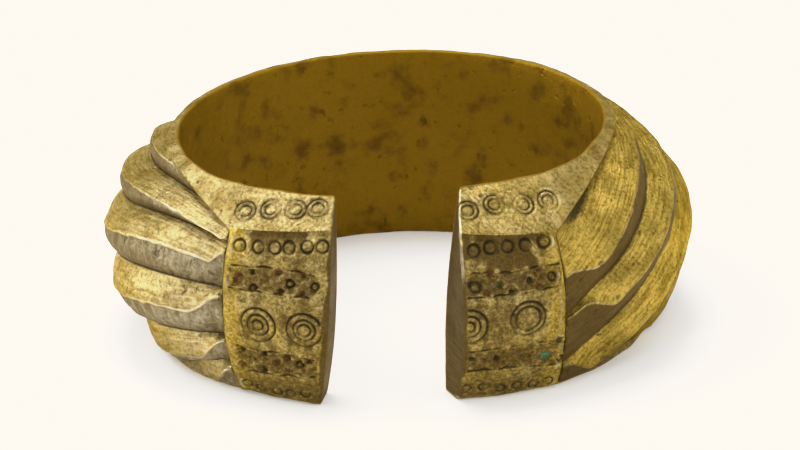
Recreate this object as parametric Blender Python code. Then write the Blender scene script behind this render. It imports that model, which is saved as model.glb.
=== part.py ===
"""Penannular bracelet of cast brass.

One solid: an open oval hoop with a plain upright bore. Slanting ribs wrap its outside like a
twisted rope, and two plain-edged panels flank the gap. The model stands on its lower rim, in
metres, with +Z up and the gap towards -Y.
"""

import math
from collections import namedtuple

import bmesh
import bpy
import mathutils
import numpy as np

# Driving dimensions, in millimetres and degrees
HEIGHT = 29.0
BORE_HALF_WIDTH = 29.0
BORE_HALF_DEPTH = 24.2
BORE_TURN = 8.0

# Where the two ends are cut. Angles run counter-clockwise from +X, seen from above.
# The right end's bore edge leans from RIGHT_END_TOP to RIGHT_END_FOOT and its face edge is upright;
# the left end curls back towards its foot.
RIGHT_END_TOP = -79.0
RIGHT_END_FOOT = -84.3
RIGHT_END_FACE = -82.0
RIGHT_LEAN_POWER = 2.4
LEFT_END_TOP = 248.3
LEFT_END_FOOT = 244.2
LEFT_CURL_POWER = 3.0
END_THICKNESS = 5.0
END_CHAMFER = 0.35

# The cross-section at eight places round the hoop. A facet slopes out and down from the top rim
# by facet_run and facet_drop, the wall swells to belly_out from the bore at belly_height, and
# draws in to foot_out where it stands. The higher shoulder and heel are, the fuller the wall is
# above and below its belly. rib_depth is how deep the hollows between ribs are cut.
Section = namedtuple(
    "Section", "angle facet_run facet_drop belly_out belly_height foot_out shoulder heel rib_depth"
)
RIGHT_END = Section(RIGHT_END_FACE, 3.9, 4.2, 6.2, 12.5, 3.4, 2.1, 2.1, 1.4)
RIGHT_BORDER = Section(-58.0, 5.6, 6.0, 8.0, 12.5, 6.0, 2.1, 2.4, 1.4)
RIGHT_SIDE = Section(-15.0, 2.0, 0.7, 12.3, 15.0, 7.0, 2.1, 3.2, 1.8)
RIGHT_REAR = Section(40.0, 1.8, 0.5, 9.6, 13.5, 6.0, 1.6, 2.2, 1.4)
LEFT_REAR = Section(138.0, 1.8, 0.5, 8.4, 13.0, 5.0, 1.6, 2.1, 1.5)
LEFT_SIDE = Section(185.0, 2.2, 0.6, 11.2, 14.0, 4.8, 2.1, 2.1, 1.9)
LEFT_BORDER = Section(221.5, 4.4, 4.4, 6.8, 13.0, 3.6, 2.1, 2.1, 1.7)
LEFT_END = Section(LEFT_END_TOP, 3.3, 3.3, 6.0, 12.5, 3.8, 2.1, 2.1, 1.7)
SECTIONS = (RIGHT_END, RIGHT_BORDER, RIGHT_SIDE, RIGHT_REAR, LEFT_REAR, LEFT_SIDE, LEFT_BORDER, LEFT_END)
RIM_ROUND = 0.35
FOOT_ROUND = 0.6

# Ribs, counted in pitches down the wall from the facet's edge. Each has a hollow upper face that
# runs from a groove down to a worn crest, and a steep lower face from there to the next groove.
RIBS_ACROSS = 3.8
RIB_SPREAD = 0.476
FIRST_TURN = -0.4
TWIST_RIGHT = 0.035
TWIST_LEFT = 0.0205
UPPER_FACE_RIGHT = 0.58
UPPER_FACE_LEFT = 0.82
UPPER_FACE_THINNING = 0.6
RIB_TAPER_RIGHT = 9.0
RIB_TAPER_LEFT = 14.0
TAPERED_DEPTH = 0.35
LAST_RIB = 13
WIDE_RIB = 1
WIDE_RIB_FACE = 1.5

# How deep each line of a rib is cut, as a share of rib_depth
GROOVE_CUT = 1.0
UPPER_FACE_CUT = 0.62
CREST_CUT = 0.0
LOWER_FACE_CUT = 0.42
WALL_MARGIN = 0.45

# End panels: a low bead along the border with the ribs, and a narrow groove beyond it
BEAD_WIDTH = 1.5
BEAD_RISE = 0.3
BORDER_GROOVE_WIDTH = 0.8
BORDER_GROOVE_DEPTH = 0.35

# Mesh fineness
HOOP_COLUMNS = 108
PANEL_COLUMNS = 5
BORE_ROWS = 8
NARROWEST_ROW = 0.04
SAME_POINT = 0.0001
SHARP_ANGLE = 35.0
MM = 0.001

BRASS_COLOUR = (0.23, 0.165, 0.06, 1.0)
BRASS_ROUGHNESS = 0.42


def ease_out(share):
    """Fast start and soft stop: one minus the square of what is left."""
    return 1.0 - (1.0 - share) ** 2


def smooth(share):
    """Soft start and soft stop, held at 0 and 1 outside the range."""
    share = min(max(share, 0.0), 1.0)
    return share * share * (3.0 - 2.0 * share)


def section_at(angle):
    """The cross-section at an angle, blended between its two neighbours in SECTIONS.

    Next to the panels the blend starts fast from the border, because the wall swells at once
    there; elsewhere it is soft at both ends, and along a panel it is straight.
    """
    if angle <= SECTIONS[0].angle:
        return SECTIONS[0]
    for before, after in zip(SECTIONS, SECTIONS[1:]):
        if angle <= after.angle:
            break
    share = min((angle - before.angle) / (after.angle - before.angle), 1.0)
    if before is RIGHT_BORDER:
        share = ease_out(share)
    elif after is LEFT_BORDER:
        share = 1.0 - ease_out(1.0 - share)
    elif before is not RIGHT_END and after is not LEFT_END:
        share = smooth(share)
    values = [a + (b - a) * share for a, b in zip(before, after)]
    return Section(*values)


def bore_point(angle):
    """Point on the oval bore and the outward direction there, both level."""
    a = math.radians(angle)
    turn = math.radians(BORE_TURN)
    x, y = BORE_HALF_WIDTH * math.cos(a), BORE_HALF_DEPTH * math.sin(a)
    out_x, out_y = BORE_HALF_DEPTH * math.cos(a), BORE_HALF_WIDTH * math.sin(a)
    length = math.hypot(out_x, out_y)
    cos_turn, sin_turn = math.cos(turn), math.sin(turn)
    point = (x * cos_turn - y * sin_turn, x * sin_turn + y * cos_turn)
    outward = ((out_x * cos_turn - out_y * sin_turn) / length, (out_x * sin_turn + out_y * cos_turn) / length)
    return point, outward


def wall_profile(section, samples=160):
    """The wall from the facet's edge down to the foot, as distance out, height and length along it."""
    top = HEIGHT - section.facet_drop
    z = np.linspace(top, 0.0, samples)
    rise = np.clip((z - section.belly_height) / (top - section.belly_height), 0.0, 1.0)
    fall = np.clip((section.belly_height - z) / section.belly_height, 0.0, 1.0)
    out = section.belly_out - (section.belly_out - section.facet_run) * rise ** section.shoulder
    out = out - (section.belly_out - section.foot_out) * fall ** section.heel
    length = np.concatenate([[0.0], np.cumsum(np.hypot(np.diff(out), np.diff(z)))])
    return out, z, length


def turns(angle):
    """Pitches by which the ribs have climbed since the right border; the twist slackens leftwards."""
    angle = min(max(angle, RIGHT_BORDER.angle), LEFT_BORDER.angle)
    gone = angle - RIGHT_BORDER.angle
    span = LEFT_BORDER.angle - RIGHT_BORDER.angle
    return FIRST_TURN + TWIST_RIGHT * gone + (TWIST_LEFT - TWIST_RIGHT) * gone * gone / (2.0 * span)


def rib_taper(angle):
    """How fully the ribs are formed: 0 at the panels' borders, 1 further round."""
    from_right = (angle - RIGHT_BORDER.angle) / RIB_TAPER_RIGHT
    from_left = (LEFT_BORDER.angle - angle) / RIB_TAPER_LEFT
    return smooth(min(from_right, from_left))


def rib_lines(angle):
    """(groove, crest) of each rib at an angle, in pitches below the facet's edge."""
    leftness = (angle - RIGHT_BORDER.angle) / (LEFT_BORDER.angle - RIGHT_BORDER.angle)
    leftness = min(max(leftness, 0.0), 1.0)
    face = UPPER_FACE_RIGHT + (UPPER_FACE_LEFT - UPPER_FACE_RIGHT) * leftness
    lines = []
    for rib in range(WIDE_RIB, LAST_RIB):
        groove = rib - turns(angle)
        thinning = UPPER_FACE_THINNING * leftness * min(max(groove / RIBS_ACROSS, 0.0), 1.0)
        crest = groove + face * (1.0 - thinning) * rib_taper(angle)
        if rib == WIDE_RIB:
            groove = crest - WIDE_RIB_FACE
        lines.append((groove, crest))
    return lines


def share_down(pitches):
    """Pitches below the facet's edge as a share of the wall's length: pitches widen downwards."""
    x = pitches / RIBS_ACROSS
    return (1.0 - RIB_SPREAD) * x + RIB_SPREAD * x * x


def row_places(angle):
    """Places of the mesh rows down the wall, and how deep each is cut, from 0 to 1.

    Each rib gives four rows: its groove, the middle of its upper face, its crest and the middle
    of its lower face. A row that has climbed past the facet or not yet left the foot waits there.
    """
    lines = rib_lines(angle)
    marks = []
    for (groove, crest), (next_groove, _) in zip(lines, lines[1:]):
        marks.append((groove, GROOVE_CUT))
        marks.append((groove + (crest - groove) * 0.5, UPPER_FACE_CUT))
        marks.append((crest, CREST_CUT))
        marks.append((crest + (next_groove - crest) * 0.5, LOWER_FACE_CUT))
    at = np.array([mark[0] for mark in marks])
    cut = np.array([mark[1] for mark in marks])
    held = np.where(at < NARROWEST_ROW, 0.0, np.where(at > RIBS_ACROSS - NARROWEST_ROW, RIBS_ACROSS, at))
    return share_down(held), np.interp(held, at, cut)


def ring(angle, ribbed=True, proud=0.0, inset=0.0):
    """The closed cross-section at an angle: up the bore, over the rim, down the wall, along the foot.

    proud lifts the wall outwards; inset draws the whole ring in towards its middle.
    """
    section = section_at(angle)
    out, z, length = wall_profile(section)
    share, cut = row_places(angle)
    along = WALL_MARGIN + share * (length[-1] - 2.0 * WALL_MARGIN)
    wall_out = np.interp(along, length, out)
    wall_z = np.interp(along, length, z)
    slope_out = np.interp(along, length, np.gradient(out, length))
    slope_z = np.interp(along, length, np.gradient(z, length))
    rib_depth = section.rib_depth * (TAPERED_DEPTH + (1.0 - TAPERED_DEPTH) * rib_taper(angle))
    depth = cut * rib_depth if ribbed else np.full_like(cut, -proud)
    wall_out = wall_out + depth * slope_z
    wall_z = np.maximum(wall_z - depth * slope_out, FOOT_ROUND)
    bore_z = np.linspace(RIM_ROUND, HEIGHT - RIM_ROUND, BORE_ROWS + 1)
    rim_drop = RIM_ROUND * section.facet_drop / section.facet_run
    points = [(RIM_ROUND, 0.0)]
    points += [(0.0, level) for level in bore_z]
    points += [(RIM_ROUND, HEIGHT - rim_drop), (section.facet_run, HEIGHT - section.facet_drop)]
    points += list(zip(wall_out, wall_z))
    points += [(section.foot_out - FOOT_ROUND, 0.0)]
    points = np.array(points)
    middle = points.mean(axis=0)
    reach = np.hypot(*(points - middle).T)[:, None]
    return points + (middle - points) * inset / reach


def end_angle(side, out, z):
    """Angle at which an end is cut, for a point at a distance out from the bore and a height."""
    up = np.clip(z / HEIGHT, 0.0, 1.0)
    if side is RIGHT_END:
        at_bore = RIGHT_END_FOOT + (RIGHT_END_TOP - RIGHT_END_FOOT) * up ** RIGHT_LEAN_POWER
        return at_bore + (RIGHT_END_FACE - at_bore) * np.clip(out / END_THICKNESS, 0.0, 1.0)
    return LEFT_END_FOOT + (LEFT_END_TOP - LEFT_END_FOOT) * (1.0 - (1.0 - up) ** LEFT_CURL_POWER)


def degrees_along(length, angle):
    """Angle swept by a length along the bore at an angle."""
    a = math.radians(angle)
    return math.degrees(length / math.hypot(BORE_HALF_WIDTH * math.sin(a), BORE_HALF_DEPTH * math.cos(a)))


def place(points, angles):
    """Points of a ring, each carried to its own angle round the bore, in millimetres."""
    placed = []
    for (out, z), angle in zip(points, angles):
        (x, y), (out_x, out_y) = bore_point(angle)
        placed.append((x + out_x * out, y + out_y * out, z))
    return placed


def hoop_rings():
    """Rings of the ribbed hoop, from the right border to the left one."""
    for angle in np.linspace(RIGHT_BORDER.angle, LEFT_BORDER.angle, HOOP_COLUMNS + 1):
        points = ring(angle)
        yield place(points, [angle] * len(points))


def panel_rings(border, end):
    """Rings of an end panel, from its border with the ribs to the cut end.

    A groove and a bead follow the border, then comes the even field, and the last ring is drawn
    in for the chamfer. The cut leans, so each point of a ring keeps the same share of its way.
    """
    span = end.angle - border.angle
    degree = math.copysign(degrees_along(1.0, border.angle), span)
    steps = [
        (BORDER_GROOVE_WIDTH * 0.5, -BORDER_GROOVE_DEPTH),
        (BORDER_GROOVE_WIDTH, 0.0),
        (BORDER_GROOVE_WIDTH + BEAD_WIDTH * 0.5, BEAD_RISE),
        (BORDER_GROOVE_WIDTH + BEAD_WIDTH, 0.0),
    ]
    columns = [(border.angle + way * degree, proud, 0.0) for way, proud in steps]
    field_start = columns[-1][0]
    field_end = end.angle - END_CHAMFER * degree
    columns += [(angle, 0.0, 0.0) for angle in np.linspace(field_start, field_end, PANEL_COLUMNS + 1)[1:]]
    columns += [(end.angle, 0.0, END_CHAMFER)]
    for angle, proud, inset in columns:
        points = ring(angle, ribbed=False, proud=proud, inset=inset)
        cut = end_angle(end, points[:, 0], points[:, 1])
        yield place(points, border.angle + (cut - border.angle) * (angle - border.angle) / span)


def loft(name, rings):
    """A closed mesh through rings of equal length, with flat caps; repeated points are shared."""
    mesh = bmesh.new()
    grid = []
    for points in rings:
        row = []
        for point in points:
            if row and (row[-1].co / MM - mathutils.Vector(point)).length < SAME_POINT:
                row.append(row[-1])
            else:
                row.append(mesh.verts.new(mathutils.Vector(point) * MM))
        grid.append(row)
    for near, far in zip(grid, grid[1:]):
        for i in range(len(near)):
            j = (i + 1) % len(near)
            corners = list(dict.fromkeys((near[i], far[i], far[j], near[j])))
            if len(corners) > 2:
                mesh.faces.new(corners)
    for row in (grid[0], grid[-1]):
        mesh.faces.new(list(dict.fromkeys(row)))
    bmesh.ops.triangulate(mesh, faces=mesh.faces[:])
    bmesh.ops.recalc_face_normals(mesh, faces=mesh.faces[:])
    centre_on_footprint(mesh)
    data = bpy.data.meshes.new(name)
    mesh.to_mesh(data)
    mesh.free()
    return data


def centre_on_footprint(mesh):
    """Moves the mesh so that its box stands on the origin."""
    places = np.array([vertex.co for vertex in mesh.verts])
    low, high = places.min(axis=0), places.max(axis=0)
    shift = mathutils.Vector((-(low[0] + high[0]) / 2.0, -(low[1] + high[1]) / 2.0, -low[2]))
    bmesh.ops.translate(mesh, verts=mesh.verts[:], vec=shift)


def brass():
    """Dull old brass with a brown patina."""
    material = bpy.data.materials.new("brass")
    material.use_nodes = True
    shader = material.node_tree.nodes["Principled BSDF"]
    shader.inputs["Base Color"].default_value = BRASS_COLOUR
    shader.inputs["Metallic"].default_value = 1.0
    shader.inputs["Roughness"].default_value = BRASS_ROUGHNESS
    return material


def bracelet():
    """The whole bracelet: right panel, hoop and left panel in one loft from end to end."""
    right = list(panel_rings(RIGHT_BORDER, RIGHT_END))[::-1]
    left = list(panel_rings(LEFT_BORDER, LEFT_END))
    data = loft("bracelet", right + list(hoop_rings()) + left)
    data.shade_smooth()
    data.set_sharp_from_angle(angle=math.radians(SHARP_ANGLE))
    data.materials.append(brass())
    return bpy.data.objects.new("bracelet", data)


def main():
    for item in list(bpy.data.objects):
        bpy.data.objects.remove(item, do_unlink=True)
    collection = bpy.data.collections.new("penannular_bracelet")
    bpy.context.scene.collection.children.link(collection)
    collection.objects.link(bracelet())


main()
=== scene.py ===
"""Looks of the penannular bracelet.

One finely worked casting stands in for the plain solid. It is worked out as whole arrays: rings of
points round an oval bore, cut by slanting ribs, with two stamped panels at the gap. Lengths are in
millimetres and angles in degrees until a mesh is made; angles run counter-clockwise from +X as seen
from above, and the gap is towards -Y.
"""

from collections import namedtuple

import bpy
import numpy as np
from mathutils import Matrix, Vector


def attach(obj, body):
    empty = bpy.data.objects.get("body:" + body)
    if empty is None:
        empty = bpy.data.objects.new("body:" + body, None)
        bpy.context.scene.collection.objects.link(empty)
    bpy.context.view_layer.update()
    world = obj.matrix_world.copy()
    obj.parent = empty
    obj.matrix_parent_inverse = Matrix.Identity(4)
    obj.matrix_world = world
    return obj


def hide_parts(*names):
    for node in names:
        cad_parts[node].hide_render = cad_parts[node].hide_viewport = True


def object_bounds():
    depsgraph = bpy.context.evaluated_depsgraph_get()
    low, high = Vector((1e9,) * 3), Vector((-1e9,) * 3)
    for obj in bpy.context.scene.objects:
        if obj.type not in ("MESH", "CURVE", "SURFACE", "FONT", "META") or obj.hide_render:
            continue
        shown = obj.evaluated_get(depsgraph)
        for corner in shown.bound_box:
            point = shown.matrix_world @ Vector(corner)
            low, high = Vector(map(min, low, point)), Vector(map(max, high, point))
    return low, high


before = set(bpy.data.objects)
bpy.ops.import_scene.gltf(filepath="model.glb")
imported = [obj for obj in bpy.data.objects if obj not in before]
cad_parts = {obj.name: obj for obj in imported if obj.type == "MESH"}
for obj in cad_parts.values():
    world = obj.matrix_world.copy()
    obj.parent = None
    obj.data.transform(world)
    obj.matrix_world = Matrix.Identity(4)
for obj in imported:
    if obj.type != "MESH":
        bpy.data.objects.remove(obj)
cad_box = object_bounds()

NODE = "bracelet"
MM = 0.001

# The casting's driving sizes, the same as its solid has
HEIGHT = 29.0
BORE_HALF_WIDTH = 29.0
BORE_HALF_DEPTH = 24.2
BORE_TURN = 8.0
RIM_ROUND = 0.35
FOOT_ROUND = 0.6

# Where the two ends are cut
RIGHT_END_TOP = -79.0
RIGHT_END_FOOT = -84.3
RIGHT_END_FACE = -82.0
RIGHT_LEAN_POWER = 2.4
LEFT_END_TOP = 248.3
LEFT_END_FOOT = 244.2
LEFT_CURL_POWER = 3.0
END_THICKNESS = 5.0
END_ROUND = 0.35

# Beside the gap the upper bore runs straighter than its oval: at the rim its wall stands back from
# the gap by up to this much, growing from an angle on over some degrees, and fading out down to the
# foot and towards the facet's edge
Straightened = namedtuple("Straightened", "back start over")
RIGHT_STRAIGHTENED = Straightened(3.1, -40.0, -42.0)
LEFT_STRAIGHTENED = Straightened(2.2, 203.0, 32.0)
STRAIGHTENED_REACH = 4.5
MOST_STRAIGHTENED = 1.2

# Cross-sections round the hoop: a facet slopes out from the rim by facet_run and facet_drop, the
# wall swells to belly_out at belly_height and draws in to foot_out. shoulder and heel say how full
# it is above and below the belly, and rib_depth how deep the hollows between ribs are.
Section = namedtuple(
    "Section", "angle facet_run facet_drop belly_out belly_height foot_out shoulder heel rib_depth"
)
RIGHT_END = Section(RIGHT_END_FACE, 3.9, 4.2, 6.2, 12.5, 3.4, 2.1, 2.1, 1.4)
RIGHT_BORDER = Section(-58.0, 5.6, 6.0, 8.0, 12.5, 6.0, 2.1, 2.4, 1.4)
RIGHT_SIDE = Section(-15.0, 1.7, 0.6, 12.3, 15.0, 7.0, 2.1, 3.2, 1.8)
RIGHT_REAR = Section(40.0, 1.2, 0.35, 9.6, 13.5, 6.0, 1.6, 2.2, 1.4)
LEFT_REAR = Section(138.0, 1.1, 0.3, 8.4, 13.0, 5.0, 1.6, 2.1, 1.5)
LEFT_QUARTER = Section(160.0, 1.3, 0.4, 10.7, 14.6, 4.9, 2.5, 2.1, 1.7)
LEFT_SIDE = Section(185.0, 1.8, 0.5, 11.2, 14.0, 4.8, 2.1, 2.1, 1.9)
LEFT_BORDER = Section(221.5, 4.4, 4.4, 6.8, 13.0, 3.6, 2.1, 2.1, 1.7)
LEFT_END = Section(LEFT_END_TOP, 3.3, 3.3, 6.0, 12.5, 3.8, 2.1, 2.1, 1.7)
SECTIONS = (
    RIGHT_END, RIGHT_BORDER, RIGHT_SIDE, RIGHT_REAR,
    LEFT_REAR, LEFT_QUARTER, LEFT_SIDE, LEFT_BORDER, LEFT_END,
)

# Ribs, in pitches down the wall from the facet's edge
RIBS_ACROSS = 3.8
RIB_SPREAD = 0.476
FIRST_TURN = -0.4
TWIST_RIGHT = 0.035
TWIST_LEFT = 0.0205
UPPER_FACE_RIGHT = 0.58
UPPER_FACE_LEFT = 0.76
UPPER_FACE_THINNING = 0.6
LAST_RIB = 13
WIDE_RIB = 1
WIDE_RIB_FACE = 1.5
WALL_MARGIN = 0.45

# The ribs' upper faces narrow over some degrees to a share of their width at each border, and the
# ribs' depth falls to a share as well. Towards the left border each rib does so in its own way and
# wanders from even spacing, by pitches there.
RIBS_MIDDLE = 80.0
RIGHT_TAPER = 9.0
RIGHT_TAPERED_FACE = 0.05
RIGHT_TIPS = {2: 3.2}
RIGHT_TAPERED_DEPTH = 0.35
LEFT_TAPER = 3.0
LEFT_TAPERED_DEPTH = 0.7
DRIFT_START = 175.0
LeftRib = namedtuple("LeftRib", "drift taper tapered_face")
LEFT_RIBS = {
    7: LeftRib(0.0, 1.5, 0.9),
    8: LeftRib(-0.22, 3.5, 0.5),
    9: LeftRib(0.09, 8.0, 0.25),
    10: LeftRib(0.12, 8.0, 0.12),
    11: LeftRib(-0.3, 8.0, 0.12),
}
OTHER_LEFT_RIB = LeftRib(0.0, 4.0, 0.3)

# Crests wander a little from their smooth lines: step in degrees, and pitches at the two borders
CREST_WANDER_STEP = 5.0
CREST_APART = 31.0
CREST_WANDER_RIGHT = 0.015
CREST_WANDER_LEFT = 0.016

# Shape across a rib: the upper face is hollow, the lower one has a narrow bevel under the crest, is
# full below it and drops into the groove
UPPER_FACE_HOLLOW_RIGHT = 0.5
UPPER_FACE_HOLLOW_LEFT = -0.4
BEVEL_SHARE = 0.147
BEVEL_DROP_RIGHT = 0.05
BEVEL_DROP_LEFT = 0.13
LOWER_FACE_POWER_RIGHT = 1.6
LOWER_FACE_POWER_LEFT = 2.8
CREST_ROUND = 0.025
JUST_LOWERED = 0.01

# Hammer marks on the lower faces round the left side, in degrees and millimetres
BLOW_SPACING = 3.9
BLOW_SHIFT = 0.37
BLOW_DEPTH = 0.27
DISH_START = 0.12
DISH_AT_CREST = 0.35
BLOWS_MIDDLE = 205.0
BLOWS_SPREAD = 32.0

# Scraper marks along the hollow faces
SCRAPES_ACROSS = 3.0
SCRAPE_DEPTH = 0.07

# Hand-worked unevenness: sizes across and heights of soft bumps
BROAD_BUMP = 9.0
BROAD_RISE = 0.07
SMALL_BUMP = 2.6
SMALL_RISE = 0.035

# End panels: a narrow groove along the border with the ribs, and a bead beside it
BORDER_GROOVE_MIDDLE = 0.2
BORDER_GROOVE_WIDTH = 0.2
BORDER_GROOVE_DEPTH = 0.35
BEAD_MIDDLE = 1.25
BEAD_WIDTH = 0.8
BEAD_RISE = 0.28
BEAD_START = 0.9
UNDERCUT_DEPTH = 0.3
UNDERCUT_MIDDLE = 0.65
UNDERCUT_WIDTH = 0.55
UNDERCUT_START = 0.8

# Stamps. A stamp is placed by its run along the panel from the border and its distance down from
# the facet's edge, which is negative on the facet.
DEGREE_AT_WALL = 0.55
TWIN_RADII = (1.42, 0.8)
TWIN_LINE = 0.19
TWIN_DEPTH = 0.28
TWIN_DIRT = 0.8
SMALL_RADIUS = 0.8
SMALL_LINE = 0.23
SMALL_DEPTH = 0.34
SMALL_DIRT = 1.0
FOOT_RADIUS = 0.66
FOOT_LINE = 0.22
FOOT_DEPTH = 0.26
FOOT_DIRT = 0.85
GREAT_LINE = 0.22
GREAT_DEPTH = 0.36
GREAT_DIRT = 0.97
LINE_WIDTH = 0.17
LINE_DEPTH = 0.32
PIT_DEPTH = 0.42
STRIKE_TILT = 0.25
BAND_SINK = 0.16
BAND_ROUGHNESS = 0.15
BAND_GRAIN = 0.8
COARSE_GRAIN = 2.4
WORN_SINK = 0.3
WORN_FADE = 0.5

# A punch leans: its ring is deeper on one side, which turns from one ring to the next, in radians. A
# rim outside each groove, by shares of the line's width, is painted lighter: partly burnished metal,
# partly a painted highlight.
STRIKE_TURN = 2.4
STRIKE_START = 1.0
RIM_AWAY = 1.7
RIM_WIDTH = 0.7

# The bands' drawn lines: how strong, broken and wavering they are, how far they run on past their
# first and last points, and how soft a band's edges are
LINE_STRENGTH = 0.75
LINE_BREAKS = 0.5
LINE_FAINTEST = 0.15
LINE_WAVER = 0.1
LINE_RUN_ON = 0.25
LINE_FADE = 0.3
BAND_EDGE = 0.4

# Pits, by shares of their radius: a bowl's soft edge, a pip's ring and line, and the stain about
# them. Dirt and stains go by the pit's kind.
PIT_RAGGED = 0.12
BOWL_EDGE = 0.6
PIP_RING = 0.62
PIP_LINE = 0.3
PIT_RIM = 0.5
PIT_RIM_AT = 1.15
PIT_RIM_WIDTH = 0.15
STAIN_REACH = 1.15
STAIN_EDGE = 0.5
PIT_DIRT = {"dull": 0.35, "red": 0.45, "teal": 0.3, "green": 0.8, "dark": 0.8, "pip": 0.8}
GREEN_STAIN = {"teal": 0.75, "green": 0.45}
RED_STAIN = {"red": 0.7}

# The worn far edge and the ragged patches of patina
WORN_RAGGED = 0.15
WORN_REACH = 1.5
PATCH_REACH = 1.3
PATCH_RAGGED = 0.3
PATCH_EDGE = 0.5

Pit = namedtuple("Pit", "run down radius stain")
Great = namedtuple("Great", "run down radii")
Patch = namedtuple("Patch", "run down across along amount")
Stamps = namedtuple("Stamps", "twins smalls feet greats bands pits worn patches")
LEFT_STAMPS = Stamps(
    twins=[(1.6, -2.3), (5.2, -2.65), (8.7, -2.7), (11.7, -2.8)],
    smalls=[(2.3, 2.2), (5.0, 2.2), (7.4, 2.15), (9.4, 2.1), (11.9, 2.0), (14.0, 2.05)],
    feet=[(2.2, 23.5), (4.1, 24.1), (6.6, 24.25), (8.6, 24.4), (10.9, 24.1)],
    greats=[Great(5.6, 13.1, (2.45, 1.5, 0.75)), Great(12.3, 13.5, (2.4, 1.5, 0.85))],
    bands=[
        ([(1.3, 4.9), (4.0, 4.9), (5.8, 4.8), (9.3, 5.0), (13.2, 5.8)],
         [(1.4, 8.0), (3.5, 8.2), (6.0, 8.25), (10.2, 8.6), (14.5, 9.0)]),
        ([(2.0, 16.7), (4.9, 17.0), (8.2, 17.2), (13.0, 18.2)],
         [(2.0, 20.9), (5.0, 21.0), (9.0, 21.1), (12.5, 21.2)]),
    ],
    pits=[
        Pit(2.6, 6.7, 1.0, "red"), Pit(4.65, 5.6, 0.55, "dark"), Pit(6.6, 6.4, 0.8, "dull"),
        Pit(8.3, 5.3, 0.6, "red"), Pit(10.0, 6.9, 0.8, "pip"), Pit(11.6, 5.7, 0.6, "red"),
        Pit(13.3, 7.3, 0.8, "pip"), Pit(4.8, 7.8, 0.7, "pip"), Pit(8.7, 8.0, 0.65, "dark"),
        Pit(11.8, 8.2, 0.6, "red"), Pit(2.6, 17.3, 0.7, "green"), Pit(6.1, 17.6, 0.7, "dark"),
        Pit(9.2, 17.9, 0.7, "red"), Pit(12.1, 18.3, 0.7, "red"), Pit(3.9, 18.9, 0.9, "dull"),
        Pit(2.3, 19.8, 0.6, "red"), Pit(7.5, 19.0, 0.65, "red"), Pit(10.85, 19.0, 0.7, "pip"),
        Pit(5.55, 20.3, 0.8, "dark"), Pit(9.0, 20.15, 0.7, "dull"),
    ],
    worn=[
        (0.0, 14.6), (3.7, 14.8), (7.8, 15.2), (12.0, 14.7), (17.0, 14.1), (20.0, 13.6), (25.7, 12.4),
    ],
    patches=[
        Patch(6.8, 0.7, 4.0, 1.0, 0.9), Patch(9.0, 6.8, 6.0, 1.6, 0.45),
        Patch(8.0, 11.5, 3.0, 3.0, 0.35), Patch(9.0, 18.6, 5.0, 1.8, 0.3),
    ],
)
RIGHT_STAMPS = Stamps(
    twins=[(11.2, -2.75), (7.2, -3.7), (3.05, -3.8), (-0.75, -3.6)],
    smalls=[(12.3, 2.3), (10.0, 1.8), (7.6, 1.65), (5.1, 1.6), (2.4, 1.3)],
    feet=[(13.3, 23.2), (11.0, 22.9), (8.8, 23.1), (6.5, 22.8), (4.15, 22.8), (2.1, 22.4)],
    greats=[Great(14.0, 12.9, (2.4, 1.5, 0.7)), Great(5.95, 11.9, (2.45, 1.75))],
    bands=[
        ([(0.8, 4.55), (3.9, 4.5), (7.7, 5.1), (13.0, 5.1), (14.0, 5.9)],
         [(1.5, 7.4), (3.5, 7.8), (10.9, 8.4), (14.6, 8.7)]),
        ([(0.2, 15.6), (4.1, 15.75), (8.9, 15.9), (14.2, 16.8)],
         [(0.2, 19.2), (2.4, 19.55), (8.0, 19.4), (14.2, 20.05)]),
    ],
    pits=[
        Pit(12.9, 7.1, 1.15, "pip"), Pit(9.5, 7.0, 0.65, "green"), Pit(7.9, 8.0, 0.6, "green"),
        Pit(5.25, 6.4, 0.6, "green"), Pit(2.1, 6.1, 0.85, "pip"), Pit(10.6, 5.1, 0.7, "red"),
        Pit(11.3, 7.9, 0.7, "red"), Pit(4.0, 7.4, 0.6, "red"), Pit(13.4, 17.9, 0.75, "green"),
        Pit(10.0, 17.8, 0.6, "dark"), Pit(6.55, 17.6, 0.5, "red"), Pit(2.9, 18.0, 0.85, "teal"),
        Pit(0.9, 18.6, 0.7, "pip"), Pit(1.3, 15.6, 0.7, "green"),
    ],
    worn=[
        (0.0, 13.9), (4.0, 14.0), (9.0, 14.5), (11.0, 14.3), (17.4, 14.5), (20.7, 14.2), (23.6, 14.1),
    ],
    patches=[
        Patch(8.2, 1.7, 6.6, 3.3, 1.0), Patch(8.0, 6.6, 6.0, 1.8, 0.6),
        Patch(9.2, 12.5, 2.4, 5.5, 0.55), Patch(9.0, 17.8, 4.5, 1.6, 0.45),
    ],
)

# The upright line that an end face is drawn in to, from the bore and from the foot and rim
SPINE_OUT = 1.7
SPINE_DROP = 3.5

# Mesh fineness
HOOP_STEP = 1.0
FINE_STEP = 0.3
FINE_STRETCH = 6.0
FACE_ROWS = 12
BORE_ROWS = 22
HOOP_FACET_ROWS = 34
CORNER_ROWS = 3
PANEL_GRAIN = 0.16
RIGHT_COLUMNS = 82
LEFT_COLUMNS = 88
SHARP_ANGLE = 40.0
CAP_ROWS = 4
SPINE_ROWS = 40
PROFILE_ROWS = 240
HELD = 0.012
WAVES = 9
WAVE_SPREAD = (0.6, 1.5)
BROAD_SEED = 3
SMALL_SEED = 5
WANDER_SEED = 7
ROUGH_SEED = 11
COARSE_SEED = 12
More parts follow.
